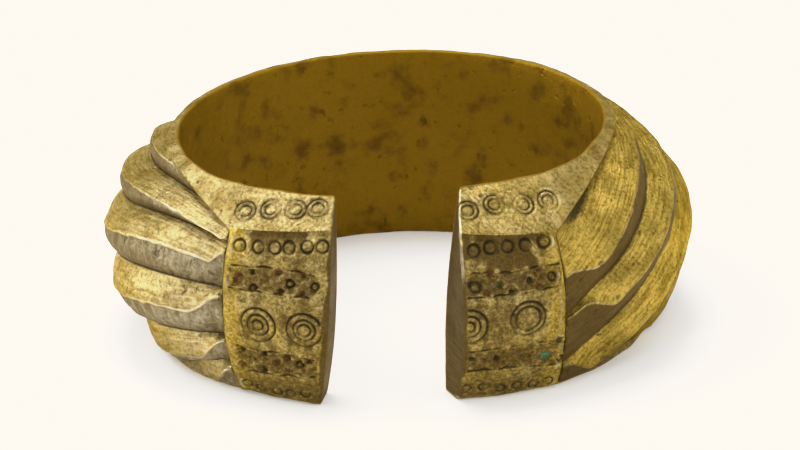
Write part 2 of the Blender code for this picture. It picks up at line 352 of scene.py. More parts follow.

# Masks and marks of the finish, among them painted highlights and painted shade
# Pale line along each rib's crest, partly wear and partly a painted highlight: its width in millimetres
CREST_WEAR_AND_HIGHLIGHT = 0.3
DULL_START = 0.06
# Rib upper faces: yellow on the right and paler tan towards the left, the paleness partly painted light
# of the left lamps
FACE_GOLD_RIGHT = 1.0
FACE_GOLD_LEFT = 0.15
BEATEN_START = 0.1
FAR = 99.0
# Painted shade at the bottom of the rib grooves: how dark, and the share of the cut it fades in from,
# over a span
GROOVE_SHADE = 0.8
GROOVE_SHADE_FROM = 0.86
GROOVE_SHADE_FADE = 0.14
# Share of that crest line kept away from the left side
PLAIN_CREST_WEAR_AND_HIGHLIGHT = 0.45
END_FACE_DIRT = 0.25
# Painted highlight along the right end's rounded edge: how strong, and the height in millimetres it
# fades in from, over a span
EDGE_HIGHLIGHT = 0.85
EDGE_HIGHLIGHT_FROM = 15.0
EDGE_HIGHLIGHT_FADE = 6.0
# Painted highlight laid over the outer faces round the left side, where the left lamps shine
LEFT_HIGHLIGHT = 0.5
# The facet: yellower on the right and paler on the left, partly as painted light of the left lamps
FACET_GOLD_RIGHT = 0.5
FACET_GOLD_LEFT = 0.1
PANEL_TARNISH = 0.46
TARNISH_RAGGED = 0.12
TARNISH_START = 3.0
FOOT_TARNISH = 0.62
FOOT_TARNISH_FROM = 18.5
FOOT_TARNISH_FADE = 4.0
BAND_TARNISH = 0.66
# Painted shade in the groove along each panel's border
BORDER_SHADE = 0.9
BEAD_WEAR = 0.5
# Rims of stamps and pits painted lighter: partly burnished, partly a painted highlight
RIM_WEAR_AND_HIGHLIGHT = 0.38
STRIP_WIDTH = 1.28
STRIP_CLEAR = 0.85
STRIP_CROSSED = 0.6
PANEL_GOLD = 0.4
STRIP_GOLD = 0.7
LOW_GOLD = 0.2
LOW_GOLD_FROM = 9.0
LOW_GOLD_FADE = 6.0
SPREAD_GREEN = 0.3
SPREAD_GREEN_ABOVE = 0.2
# Round the left side, in degrees, where wear and painted highlights are strongest
BURNISHED_AND_LIT_MIDDLE = 212.0
BURNISHED_AND_LIT_SPREAD = 24.0
PITCH = 6.5
MARK_STEP = 0.6
STREAK_STRETCH = 9.0


def smooth(share):
    """Soft start and soft stop between 0 and 1."""
    share = np.clip(share, 0.0, 1.0)
    return share * share * (3.0 - 2.0 * share)


def sections_at(angles):
    """Cross-sections at many angles, one column for each measure.

    Along a panel the blend is straight. Beside the panels it starts fast from the border, because
    the wall swells at once there, and elsewhere it is soft at both ends.
    """
    table = np.array(SECTIONS)
    at = np.clip(angles, table[0, 0], table[-1, 0])
    before = np.clip(np.searchsorted(table[:, 0], at) - 1, 0, len(table) - 2)
    share = (at - table[before, 0]) / (table[before + 1, 0] - table[before, 0])
    last = len(table) - 2
    eased = np.select(
        [(before == 0) | (before == last), before == 1, before == last - 1],
        [share, 1.0 - (1.0 - share) ** 2, share**2],
        smooth(share),
    )[:, None]
    blended = table[before] * (1.0 - eased) + table[before + 1] * eased
    return Section(*blended.T)


def wall_profiles(section):
    """Each wall from the facet's edge to the foot: distance out, height, length, and its two slopes.

    Above the belly the wall draws in by a power of the share climbed, below it by a power of the
    share fallen.
    """
    top = (HEIGHT - section.facet_drop)[:, None]
    z = top * np.linspace(1.0, 0.0, PROFILE_ROWS)
    belly = section.belly_height[:, None]
    rise = np.clip((z - belly) / (top - belly), 0.0, 1.0)
    fall = np.clip((belly - z) / belly, 0.0, 1.0)
    above = (section.belly_out - section.facet_run)[:, None]
    beneath = (section.belly_out - section.foot_out)[:, None]
    out = section.belly_out[:, None] - above * rise ** section.shoulder[:, None]
    out = out - beneath * fall ** section.heel[:, None]
    steps = np.hypot(np.diff(out, axis=1), np.diff(z, axis=1))
    length = np.concatenate([np.zeros((len(z), 1)), np.cumsum(steps, axis=1)], axis=1)
    slope_out = np.gradient(out, axis=1) / np.gradient(length, axis=1)
    slope_z = np.gradient(z, axis=1) / np.gradient(length, axis=1)
    return out, z, length, slope_out, slope_z


def down_wall(profiles, along):
    """Values of the wall profiles at distances along each wall."""
    length = profiles[2]
    picked = [
        [np.interp(a, l, row) for a, l, row in zip(along, length, values)]
        for values in (profiles[0], profiles[1], profiles[3], profiles[4])
    ]
    return [np.array(rows) for rows in picked]


def turned(x, y):
    """Level points turned about the bore's middle by its own turn."""
    turn = np.radians(BORE_TURN)
    return np.stack([x * np.cos(turn) - y * np.sin(turn), x * np.sin(turn) + y * np.cos(turn)], axis=-1)


def on_bore(angles):
    """Points on the oval bore, the level outward directions and the distance swept by a degree."""
    a = np.radians(angles)
    point = turned(BORE_HALF_WIDTH * np.cos(a), BORE_HALF_DEPTH * np.sin(a))
    out_x, out_y = BORE_HALF_DEPTH * np.cos(a), BORE_HALF_WIDTH * np.sin(a)
    length = np.hypot(out_x, out_y)
    outward = turned(out_x / length, out_y / length)
    sweep = np.radians(np.hypot(BORE_HALF_WIDTH * np.sin(a), BORE_HALF_DEPTH * np.cos(a)))
    return point, outward, sweep


def laid_round(angles, out, z):
    """Places of ring points: from the bore at an angle, outwards by out, at height z. Beside the gap
    the points near the rim are set back towards +Y."""
    point, outward, _ = on_bore(angles)
    level = point + outward * out[..., None]
    near_rim = np.clip(1.0 - out / STRAIGHTENED_REACH, 0.0, MOST_STRAIGHTENED) * z / HEIGHT
    for end in (RIGHT_STRAIGHTENED, LEFT_STRAIGHTENED):
        level[..., 1] += end.back * smooth((angles - end.start) / end.over) * near_rim
    return np.concatenate([level, z[..., None]], axis=-1)


def turns(angles):
    """Pitches climbed since the right border; the twist slackens leftwards."""
    gone = np.clip(angles, RIGHT_BORDER.angle, LEFT_BORDER.angle) - RIGHT_BORDER.angle
    span = LEFT_BORDER.angle - RIGHT_BORDER.angle
    return FIRST_TURN + TWIST_RIGHT * gone + (TWIST_LEFT - TWIST_RIGHT) * gone * gone / (2.0 * span)


def rib_depth_share(angles):
    """Share of their full depth that the ribs have: less right beside the panels' borders."""
    from_right = smooth((angles - RIGHT_BORDER.angle) / RIGHT_TAPER)
    from_left = smooth((LEFT_BORDER.angle - angles) / LEFT_TAPER)
    right = RIGHT_TAPERED_DEPTH + (1.0 - RIGHT_TAPERED_DEPTH) * from_right
    left = LEFT_TAPERED_DEPTH + (1.0 - LEFT_TAPERED_DEPTH) * from_left
    return np.where(angles < RIBS_MIDDLE, right, left)


def from_right_to_left(angles, right, left):
    """A value that changes evenly from the right border to the left one."""
    share = (angles - RIGHT_BORDER.angle) / (LEFT_BORDER.angle - RIGHT_BORDER.angle)
    return right + (left - right) * np.clip(share, 0.0, 1.0)


def rib_lines(angles):
    """Grooves and crests of the ribs at each angle, in pitches below the facet's edge."""
    angle = angles[:, None]
    ribs = np.arange(WIDE_RIB, LAST_RIB + 1)
    own = LeftRib(*np.array([LEFT_RIBS.get(int(rib), OTHER_LEFT_RIB) for rib in ribs]).T)
    near_left = smooth((angle - DRIFT_START) / (LEFT_BORDER.angle - DRIFT_START))
    groove = ribs - turns(angle) + own.drift * near_left
    lowness = np.clip(groove / RIBS_ACROSS, 0.0, 1.0)
    thinning = from_right_to_left(angle, 0.0, UPPER_FACE_THINNING) * lowness
    tips = np.array([RIGHT_TIPS.get(int(rib), 0.0) for rib in ribs])
    right = smooth((angle - RIGHT_BORDER.angle - tips) / RIGHT_TAPER)
    right = RIGHT_TAPERED_FACE + (1.0 - RIGHT_TAPERED_FACE) * right
    left = smooth((LEFT_BORDER.angle - angle) / own.taper)
    left = own.tapered_face + (1.0 - own.tapered_face) * left
    share = np.where(angle < RIBS_MIDDLE, right, left) * (1.0 - thinning)
    crest = groove + from_right_to_left(angle, UPPER_FACE_RIGHT, UPPER_FACE_LEFT) * share
    place = np.stack([angle + 0.0 * groove, ribs * CREST_APART + 0.0 * groove], axis=-1)
    place = np.concatenate([place, 0.0 * place[..., :1]], axis=-1)
    wander = unevenness(place, CREST_WANDER_STEP, WANDER_SEED)
    crest = crest + from_right_to_left(angle, CREST_WANDER_RIGHT, CREST_WANDER_LEFT) * wander * share
    groove[:, 0] = crest[:, 0] - WIDE_RIB_FACE
    return groove, crest


def share_down(pitches):
    """Pitches below the facet's edge as a share of the wall's length: pitches widen downwards."""
    x = pitches / RIBS_ACROSS
    return (1.0 - RIB_SPREAD) * x + RIB_SPREAD * x * x


def rib_rows(angles):
    """Rows that follow the ribs: place in pitches, depth of cut, crest, how far down the lower face
    and the rib's number.

    The cut is a share of the rib's depth. On the upper face it falls from 1 in the groove to 0 on
    the crest, hollow on the right and swelling on the left; on the lower one it first falls off by
    a bevel, then grows by a power of the share down, so that it drops in only at the end.
    Rows crowd towards both ends of a face.
    """
    groove, crest = rib_lines(angles)
    crowd = (1.0 - np.cos(np.pi * np.arange(FACE_ROWS) / FACE_ROWS)) / 2.0
    start, middle, stop = groove[:, :-1, None], crest[:, :-1, None], groove[:, 1:, None]
    upper = start + (middle - start) * crowd
    lower = middle + (stop - middle) * crowd
    power = from_right_to_left(angles, LOWER_FACE_POWER_RIGHT, LOWER_FACE_POWER_LEFT)[:, None, None]
    bevel = from_right_to_left(angles, BEVEL_DROP_RIGHT, BEVEL_DROP_LEFT)[:, None, None]
    scrapes = SCRAPE_DEPTH * np.sin(2.0 * np.pi * SCRAPES_ACROSS * crowd) * crowd * (1.0 - crowd)
    hollow = from_right_to_left(angles, UPPER_FACE_HOLLOW_RIGHT, UPPER_FACE_HOLLOW_LEFT)[:, None, None]
    upper_cut = (1.0 - crowd) + hollow * crowd * (1.0 - crowd) + scrapes + 0.0 * upper
    lower_cut = bevel * np.minimum(crowd / BEVEL_SHARE, 1.0)
    lower_cut = lower_cut + (1.0 - bevel) * crowd**power + 0.0 * lower
    place = np.concatenate([upper, lower], axis=2)
    cut = np.concatenate([upper_cut, lower_cut], axis=2)
    full = np.sqrt(1.0 + CREST_ROUND**2) - CREST_ROUND
    cut = (np.sqrt(cut**2 + CREST_ROUND**2) - CREST_ROUND) / full
    own_crest = np.broadcast_to(middle, place.shape)
    lowered = np.concatenate([0.0 * crowd, np.maximum(crowd, JUST_LOWERED)])
    lowered = np.broadcast_to(lowered, place.shape)
    rib = np.broadcast_to(np.arange(WIDE_RIB, LAST_RIB)[:, None], place.shape)
    return [values.reshape(len(angles), -1) for values in (place, cut, own_crest, lowered, rib)]


def hammered(angles, lowered, rib):
    """Depth of the hammer marks on the lower faces: one soft dish after another along each rib, a
    bowed sine along it, that starts below the crest and runs out by a fourth power at the groove."""
    blow = np.abs(np.sin(np.pi * (angles[:, None] / BLOW_SPACING + BLOW_SHIFT * rib)))
    dish = smooth(lowered / DISH_START) * (1.0 - lowered**4) + DISH_AT_CREST * (lowered <= DISH_START)
    near = hump(angles - BLOWS_MIDDLE, BLOWS_SPREAD)[:, None]
    return BLOW_DEPTH * blow * dish * near * (lowered > 0.0)


def inner_rows(section, facet_rows):
    """Rows from the foot's inner corner up the bore, over the rim and down the facet to its edge.

    Both corners are arcs of RIM_ROUND; the rim's turns from upright to the facet's slope. Gives the
    rows' distance out and height, their labels round the ring, 0 to 1 up to the facet and 1 to 2 on
    it, and their outward directions.
    """
    upright = np.ones((len(section.angle), 1))
    quarter = np.radians(np.linspace(0.0, 90.0, CORNER_ROWS + 2))[:-1]
    lean = np.arctan(section.facet_drop / section.facet_run)[:, None]
    rim_centre = HEIGHT - RIM_ROUND * (np.tan(lean) * (1.0 + np.sin(lean)) + np.cos(lean))
    bore_z = RIM_ROUND + (rim_centre - RIM_ROUND) * np.linspace(0.0, 1.0, BORE_ROWS + 1)
    turn = (np.pi / 2.0 + lean) * np.linspace(0.0, 1.0, CORNER_ROWS + 2)[1:-1]
    share = np.linspace(0.0, 1.0, facet_rows + 1)
    facet_start = RIM_ROUND * (1.0 + np.sin(lean))
    facet_out = facet_start + (section.facet_run[:, None] - facet_start) * share
    out = [upright * RIM_ROUND * (1.0 - np.sin(quarter)), 0.0 * bore_z]
    out += [RIM_ROUND * (1.0 - np.cos(turn)), facet_out]
    z = [upright * RIM_ROUND * (1.0 - np.cos(quarter)), bore_z]
    z += [rim_centre + RIM_ROUND * np.sin(turn), HEIGHT - np.tan(lean) * facet_out]
    plain = len(quarter) + bore_z.shape[1] + turn.shape[1]
    label = np.concatenate([np.arange(plain) / plain, 1.0 + share])
    n_out = [upright * -np.sin(quarter), -1.0 + 0.0 * bore_z, -np.cos(turn)]
    n_out.append(np.sin(lean) + 0.0 * facet_out)
    n_z = [upright * -np.cos(quarter), 0.0 * bore_z, np.sin(turn)]
    n_z.append(np.cos(lean) + 0.0 * facet_out)
    out, z, n_out, n_z = [np.concatenate(rows, axis=1) for rows in (out, z, n_out, n_z)]
    return out, z, np.broadcast_to(label, out.shape), n_out, n_z


def foot_rows(section):
    """Rows of the rounded outer foot below the wall, as distance out, height and labels from 3 to 4."""
    quarter = np.radians(np.linspace(0.0, 90.0, CORNER_ROWS + 2))[1:]
    out = section.foot_out[:, None] - FOOT_ROUND * (1.0 - np.cos(quarter))
    z = FOOT_ROUND * (1.0 - np.sin(quarter)) * np.ones_like(out)
    label = 3.0 + np.arange(1, len(quarter) + 1) / (len(quarter) + 1.0)
    n_out, n_z = np.cos(quarter) + 0.0 * out, -np.sin(quarter) + 0.0 * out
    return out, z, np.broadcast_to(label, out.shape), n_out, n_z


def joined_rows(inner, wall, foot):
    """Rows of whole rings from those of their inner side, wall and foot, each as distance out,
    height, label and the two parts of the outward direction."""
    return [np.concatenate(rows, axis=1) for rows in zip(inner, wall, foot)]


def unevenness(places, size, seed):
    """Soft bumps about one size across, roughly from -1 to 1: a mean of sine waves whose directions,
    lengths and starts are drawn at random."""
    draw = np.random.default_rng(seed)
    ways = draw.normal(size=(3, WAVES))
    ways *= 2.0 * np.pi / size * draw.uniform(*WAVE_SPREAD, WAVES) / np.linalg.norm(ways, axis=0)
    start = draw.uniform(0.0, 2.0 * np.pi, WAVES)
    return np.sin(places @ ways + start).sum(axis=-1) / np.sqrt(WAVES)


def hump(gap, width):
    """A soft hump: 1 where the gap is nothing, gone at about twice the width."""
    return np.exp(-((gap / width) ** 2))


# A stretch of the casting's skin: columns of ring points, with labels round the ring, the masks
# its finish follows, places for lengthwise marks, and which point of its column each row uses.
Skin = namedtuple("Skin", "points label masks marks use")
MASKS = ("cavity", "wear_and_highlight", "dull", "inside", "gold", "green", "red", "beaten")


def soft_bumps(places):
    """The hand-worked unevenness of every surface: broad bumps and small ones."""
    broad = unevenness(places, BROAD_BUMP, BROAD_SEED)
    return BROAD_RISE * broad + SMALL_RISE * unevenness(places, SMALL_BUMP, SMALL_SEED)


def hoop_angles():
    """Angles of the hoop's columns, closer together where the ribs run out beside the panels."""
    right_stop = RIGHT_BORDER.angle + FINE_STRETCH
    left_start = LEFT_BORDER.angle - FINE_STRETCH
    fine = round(FINE_STRETCH / FINE_STEP)
    plain = round((left_start - right_stop) / HOOP_STEP)
    parts = [
        np.linspace(RIGHT_BORDER.angle, right_stop, fine, endpoint=False),
        np.linspace(right_stop, left_start, plain, endpoint=False),
        np.linspace(left_start, LEFT_BORDER.angle, fine + 1),
    ]
    return np.concatenate(parts)


def hoop():
    """The ribbed hoop. Rows on the wall follow the ribs; one that has climbed past the facet's edge or
    not yet left the foot is held there, and uses the wall's first or last point."""
    angles = hoop_angles()
    section = sections_at(angles)
    profiles = wall_profiles(section)
    on_rows = rib_rows(angles)
    place = on_rows[0]
    reach = profiles[2][:, -1:] - 2.0 * WALL_MARGIN
    limits = np.broadcast_to([0.0, RIBS_ACROSS], (len(angles), 2))
    held_up = place < HELD
    held_down = place > RIBS_ACROSS - HELD
    at_limits = [
        np.array([np.interp(limit, at, row) for limit, at, row in zip(limits, place, values)])
        for values in on_rows
    ]
    at_limits[0] = limits
    place, cut, own_crest, lowered, rib = [
        np.concatenate([edge[:, :1], values, edge[:, 1:]], axis=1)
        for edge, values in zip(at_limits, on_rows)
    ]
    place = np.clip(place, 0.0, RIBS_ACROSS)
    along = WALL_MARGIN + share_down(place) * reach
    wall_out, wall_z, slope_out, slope_z = down_wall(profiles, along)
    depth = cut * section.rib_depth[:, None] * rib_depth_share(angles)[:, None]
    depth = depth + hammered(angles, lowered, rib)
    wall_out = wall_out + depth * slope_z
    wall_z = wall_z - depth * slope_out

    wall_label = 2.0 + along / profiles[2][:, -1:]
    wall_rows = [wall_out, np.maximum(wall_z, FOOT_ROUND), wall_label, -slope_z, slope_out]
    inner = inner_rows(section, HOOP_FACET_ROWS)
    out, z, label, n_out, n_z = joined_rows(inner, wall_rows, foot_rows(section))

    first = inner[0].shape[1]
    last = first + wall_out.shape[1] - 1
    rows = np.arange(out.shape[1])
    use = np.broadcast_to(rows, out.shape).copy()
    middle = use[:, first + 1:last]
    middle[held_up] = first
    middle[held_down] = last

    wall = (rows >= first) & (rows <= last)
    on_facet = (rows < first) & (rows >= first - HOOP_FACET_ROWS - 1)
    crest_gap = np.full_like(out, FAR)
    crest_gap[:, wall] = (share_down(place) - share_down(own_crest)) * reach
    masks = {name: np.zeros_like(out) for name in MASKS}
    # Each crest is painted pale: partly wear, partly a painted highlight
    masks["wear_and_highlight"] = hump(crest_gap, CREST_WEAR_AND_HIGHLIGHT)
    masks["dull"][:, wall] = smooth(lowered / DULL_START)
    # Yellow on the right, paler to the left, partly as painted light
    gold = from_right_to_left(angles, FACE_GOLD_RIGHT, FACE_GOLD_LEFT)[:, None]
    masks["gold"][:, wall] = gold * (lowered <= 0.0)
    # Painted shade at the bottom of each groove, where the cut is deepest
    dark_fill = smooth((cut - GROOVE_SHADE_FROM) / GROOVE_SHADE_FADE)
    masks["cavity"][:, wall] = dark_fill * GROOVE_SHADE * rib_depth_share(angles)[:, None]
    # The facet is paler on the left, partly as painted light
    gold = from_right_to_left(angles, FACET_GOLD_RIGHT, FACET_GOLD_LEFT)[:, None]
    masks["gold"] += gold * on_facet
    inside = (rows < first - HOOP_FACET_ROWS - 1).astype(float)
    masks["inside"] = np.broadcast_to(inside, out.shape)
    across = np.zeros_like(out)
    across[:, wall] = (place + turns(angles)[:, None]) * PITCH

    round_hoop = angles[:, None] * np.ones_like(out)
    places = laid_round(round_hoop, out, z)
    middles = [stamp_middle(RIGHT_BORDER, -1.0, *at) for at in RIGHT_STAMPS.twins]
    twins = struck_rings(middles, places, TWIN_RADII, TWIN_LINE, TWIN_DEPTH)
    stamp_height, stamp_dirt, stamp_rim = twins
    height = soft_bumps(places) + np.where(on_facet, stamp_height, 0.0)
    # Round the left side the crest lines are brighter, and the outer faces get a painted highlight of
    # their own
    burnished_and_lit = hump(angles - BURNISHED_AND_LIT_MIDDLE, BURNISHED_AND_LIT_SPREAD)[:, None]
    masks["wear_and_highlight"] = masks["wear_and_highlight"] * (PLAIN_CREST_WEAR_AND_HIGHLIGHT + (1.0 - PLAIN_CREST_WEAR_AND_HIGHLIGHT) * burnished_and_lit)
    outside = ~on_facet & (masks["inside"] < 0.5)
    masks["wear_and_highlight"] = np.maximum(masks["wear_and_highlight"], LEFT_HIGHLIGHT * burnished_and_lit * outside)
    masks["beaten"][:, wall] = burnished_and_lit * smooth(lowered / BEATEN_START) * (1.0 - lowered**3)
    masks["cavity"] += np.where(on_facet, TWIN_DIRT * stamp_dirt, 0.0)
    # Rims of the facet's rings painted lighter: partly burnished, partly a painted highlight
    masks["wear_and_highlight"] += np.where(on_facet, stamp_rim, 0.0)
    out = out + n_out * height
    z = np.maximum(z + n_z * height, 0.0)
    marks = np.stack([round_hoop * MARK_STEP, across], axis=-1)
    return Skin(laid_round(round_hoop, out, z), label, masks, marks, use)


def end_angle(side, out, z):
    """Angle at which an end is cut, for points at a distance out from the bore and a height."""
    up = np.clip(z / HEIGHT, 0.0, 1.0)
    if side is RIGHT_END:
        at_bore = RIGHT_END_FOOT + (RIGHT_END_TOP - RIGHT_END_FOOT) * up**RIGHT_LEAN_POWER
        return at_bore + (RIGHT_END_FACE - at_bore) * np.clip(out / END_THICKNESS, 0.0, 1.0)
    return LEFT_END_FOOT + (LEFT_END_TOP - LEFT_END_FOOT) * (1.0 - (1.0 - up) ** LEFT_CURL_POWER)


def drawn_in(out, z, share):
    """Ring points drawn towards the upright spine of a panel by a share of their distance to it."""
    spine_z = np.clip(z, SPINE_OUT, HEIGHT - SPINE_DROP)
    return out + (SPINE_OUT - out) * share, z + (spine_z - z) * share


def panel(border, end, columns, stamps):
    """An end panel from its border to the rounded edge of its cut end, and the points of its end face.

    The nominal columns are even; each point is carried on by the share that takes the last one to
    the leaning cut. The stamps give heights and masks from the distance along each row and down it,
    and from the row's zone: 0 inside, 1 on the facet, 2 on the wall and 3 on the foot.
    """
    span = end.angle - border.angle
    degree = np.sign(span) / on_bore(np.array(border.angle))[2]
    arc = np.radians(np.linspace(0.0, 90.0, CORNER_ROWS + 2))
    first = border.angle + degree * PANEL_GRAIN
    last = end.angle - degree * END_ROUND
    rounding = end.angle - degree * END_ROUND * (1.0 - np.sin(arc[1:]))
    nominal = np.concatenate([np.linspace(first, last, columns), rounding])
    inset = np.concatenate([np.zeros(columns), END_ROUND * (1.0 - np.cos(arc[1:]))])
    section = sections_at(nominal)
    profiles = wall_profiles(section)
    length = profiles[2][:, -1:]
    wall_rows = round(float(length.mean()) / PANEL_GRAIN)
    along = length * (np.arange(1, wall_rows) / wall_rows)
    wall_out, wall_z, slope_out, slope_z = down_wall(profiles, along)
    facet_length = np.hypot(section.facet_run, section.facet_drop)
    facet_rows = round(float(facet_length.mean()) / PANEL_GRAIN)
    wall_label = 2.0 + along / length
    wall = [wall_out, np.maximum(wall_z, FOOT_ROUND), wall_label, -slope_z, slope_out]
    inner = inner_rows(section, facet_rows)
    out, z, label, n_out, n_z = joined_rows(inner, wall, foot_rows(section))

    def laid(out, z):
        to_cut = end_angle(end, out, z) - border.angle
        return laid_round(border.angle + to_cut * (nominal[:, None] - border.angle) / span, out, z)

    edge = inner[0].shape[1] - 1
    steps = np.linalg.norm(np.diff(laid(out, z), axis=0), axis=2)
    start = np.full((1, out.shape[1]), PANEL_GRAIN)
    run = np.concatenate([start, PANEL_GRAIN + np.cumsum(steps, axis=0)])
    drop = np.hypot(np.diff(out, axis=1), np.diff(z, axis=1)).cumsum(axis=1)
    drop = np.concatenate([np.zeros((len(drop), 1)), drop], axis=1)
    down = drop - drop[:, edge:edge + 1]
    rows = np.arange(out.shape[1])
    last_of_zones = [edge - facet_rows - 1, edge, edge + along.shape[1]]
    zone = np.broadcast_to(np.searchsorted(last_of_zones, rows), out.shape)
    height, masks = panel_relief(border, end, stamps, run, down, zone, laid(out, z))
    # A painted highlight along the upper part of the right end's rounded edge
    if end is RIGHT_END:
        highlit_edge = (inset > 0.0)[:, None] * smooth((z - EDGE_HIGHLIGHT_FROM) / EDGE_HIGHLIGHT_FADE) * (zone > 0)
        masks["wear_and_highlight"] = np.maximum(masks["wear_and_highlight"], EDGE_HIGHLIGHT * highlit_edge)
    out, z = out + n_out * height, np.maximum(z + n_z * height, 0.0)
    to_spine = np.hypot(out - SPINE_OUT, z - np.clip(z, SPINE_OUT, HEIGHT - SPINE_DROP))
    out, z = drawn_in(out, z, inset[:, None] / np.maximum(to_spine, inset.max()))

    shares = np.arange(1, CAP_ROWS + 1) / (CAP_ROWS + 1.0)
    cap_out, cap_z = drawn_in(out[-1], z[-1], shares[:, None])
    spine_z = np.linspace(SPINE_OUT, HEIGHT - SPINE_DROP, SPINE_ROWS)
    spine = laid_round(end_angle(end, SPINE_OUT, spine_z), np.full(SPINE_ROWS, SPINE_OUT), spine_z)
    cap = laid_round(end_angle(end, cap_out, cap_z), cap_out, cap_z)
    marks = np.stack([run * STREAK_STRETCH, down], axis=-1)
    return Skin(laid(out, z), label, masks, marks, np.broadcast_to(rows, out.shape)), cap, spine


def border_relief(run, down):
    """Groove and bead along the border: two soft humps across the run, fading in below the facet."""
    fade = smooth(down / BEAD_START)
    groove = hump(run - BORDER_GROOVE_MIDDLE, BORDER_GROOVE_WIDTH)
    bead = hump(run - BEAD_MIDDLE, BEAD_WIDTH)
    return fade * (BEAD_RISE * bead - BORDER_GROOVE_DEPTH * groove), fade * groove, fade * bead


def stamp_middle(border, way, run, down):
    """Where a stamp's middle is: run along from the border, and down the wall or up the facet."""
    section = sections_at(np.array([border.angle + way * run / DEGREE_AT_WALL]))
    lean = np.arctan(section.facet_drop / section.facet_run)
    out = section.facet_run + down * np.cos(lean)
    z = HEIGHT - section.facet_drop - down * np.sin(lean)
    if down > 0.0:
        out, z = [values[0] for values in down_wall(wall_profiles(section), np.array([[down]]))[:2]]
    sweep = on_bore(section.angle)[2] + np.radians(out)
    return laid_round(border.angle + way * run / sweep, out, z)[0]


def struck_rings(middles, places, radii, line, depth):
    """Rings struck with a punch: a soft groove along each circle, deeper on the side that the punch
    leaned to. Gives the height, how much of a groove there is, and the rim outside it, which is painted
    lighter as partly burnished metal and partly a highlight."""
    height, groove, rim = np.zeros((3, *places.shape[:-1]))
    for number, middle in enumerate(middles):
        gap = places - middle
        away = np.linalg.norm(gap, axis=-1)
        side = np.arctan2(gap[..., 2], gap[..., 0]) - STRIKE_TURN * number - STRIKE_START
        lean = 1.0 + STRIKE_TILT * np.cos(side)
        for radius in radii:
            cut = hump(away - radius, line) * lean / (1.0 + STRIKE_TILT)
            height = np.minimum(height, -depth * cut)
            groove = np.maximum(groove, cut)
            raised = hump(away - radius - RIM_AWAY * line, RIM_WIDTH * line)
            rim = np.maximum(rim, raised * lean / (1.0 + STRIKE_TILT))
    return height, groove, rim


def struck_stamps(border, way, stamps, places):
    """Every ring struck into a panel: its height, the dirt in it and its rim, painted lighter as
    partly burnished metal and partly a highlight.
    """
    sets = [
        (stamps.twins, TWIN_RADII, TWIN_LINE, TWIN_DEPTH, TWIN_DIRT),
        (stamps.smalls, (SMALL_RADIUS,), SMALL_LINE, SMALL_DEPTH, SMALL_DIRT),
        (stamps.feet, (FOOT_RADIUS,), FOOT_LINE, FOOT_DEPTH, FOOT_DIRT),
    ]
    for great in stamps.greats:
        sets.append(([(great.run, great.down)], great.radii, GREAT_LINE, GREAT_DEPTH, GREAT_DIRT))
    height, dark_fill, rim = np.zeros((3, *places.shape[:-1]))
    for at, radii, line, depth, filled in sets:
        middles = [stamp_middle(border, way, *place) for place in at]
        ring_height, groove, ring_rim = struck_rings(middles, places, radii, line, depth)
        height = np.minimum(height, ring_height)
        dark_fill = np.maximum(dark_fill, filled * groove)
        rim = np.maximum(rim, ring_rim)
    return height, dark_fill, rim


def below(line, run):
    """How far down a drawn line lies at each run, and whether the run is within the line."""
    at, depth = np.array(line).T
    begun = smooth((run - at[0] + LINE_RUN_ON) / LINE_FADE)
    going = smooth((at[-1] + LINE_RUN_ON - run) / LINE_FADE)
    return np.interp(run, at, depth), begun * going


def drawn_bands(bands, run, down, coarse):
    """The bands between two drawn and broken lines: where they lie, and their lines' height and
    dirt."""
    band, height, dark_fill = np.zeros((3, *run.shape))
    broken = np.clip(LINE_STRENGTH + LINE_BREAKS * coarse, LINE_FAINTEST, 1.0)
    for top, bottom in bands:
        high, inside = below(top, run)
        low, inside_low = below(bottom, run)
        for line, within in ((high, inside), (low, inside_low)):
            drawn = hump(down - line + LINE_WAVER * coarse, LINE_WIDTH) * within * broken
            height = np.minimum(height, -LINE_DEPTH * drawn)
            dark_fill = np.maximum(dark_fill, drawn)
        between_lines = smooth((down - high) / BAND_EDGE) * smooth((low - down) / BAND_EDGE)
        band = np.maximum(band, between_lines * inside)
    return band, height, dark_fill


def struck_pits(pits, run, down, coarse):
    """The pits of the bands: height, dirt, a rim painted lighter as partly burnished metal and
    partly a highlight, and the green and red stains about them.
    """
    height, dark_fill, rim, green, red = np.zeros((5, *run.shape))
    for pit in pits:
        away = np.hypot(run - pit.run, down - pit.down) * (1.0 + PIT_RAGGED * coarse)
        if pit.stain == "pip":
            bowl = hump(away - PIP_RING * pit.radius, PIP_LINE * pit.radius)
        else:
            bowl = smooth((pit.radius - away) / (BOWL_EDGE * pit.radius))
        height = np.minimum(height, -PIT_DEPTH * bowl)
        dark_fill = np.maximum(dark_fill, PIT_DIRT[pit.stain] * bowl)
        rim = np.maximum(rim, PIT_RIM * hump(away - PIT_RIM_AT * pit.radius, PIT_RIM_WIDTH))
        near = smooth((STAIN_REACH * pit.radius - away) / (STAIN_EDGE * pit.radius))
        green = np.maximum(green, GREEN_STAIN.get(pit.stain, 0.0) * near)
        red = np.maximum(red, RED_STAIN.get(pit.stain, 0.0) * near)
    return height, dark_fill, rim, green, red


def patina_patches(patches, run, down, coarse):
    """Ragged oval patches of thick patina on a panel."""
    patch = np.zeros(run.shape)
    for spot in patches:
        off = np.hypot((run - spot.run) / spot.across, (down - spot.down) / spot.along)
        amount = smooth((PATCH_REACH - off + PATCH_RAGGED * coarse) / PATCH_EDGE)
        patch = np.maximum(patch, spot.amount * amount)
    return patch


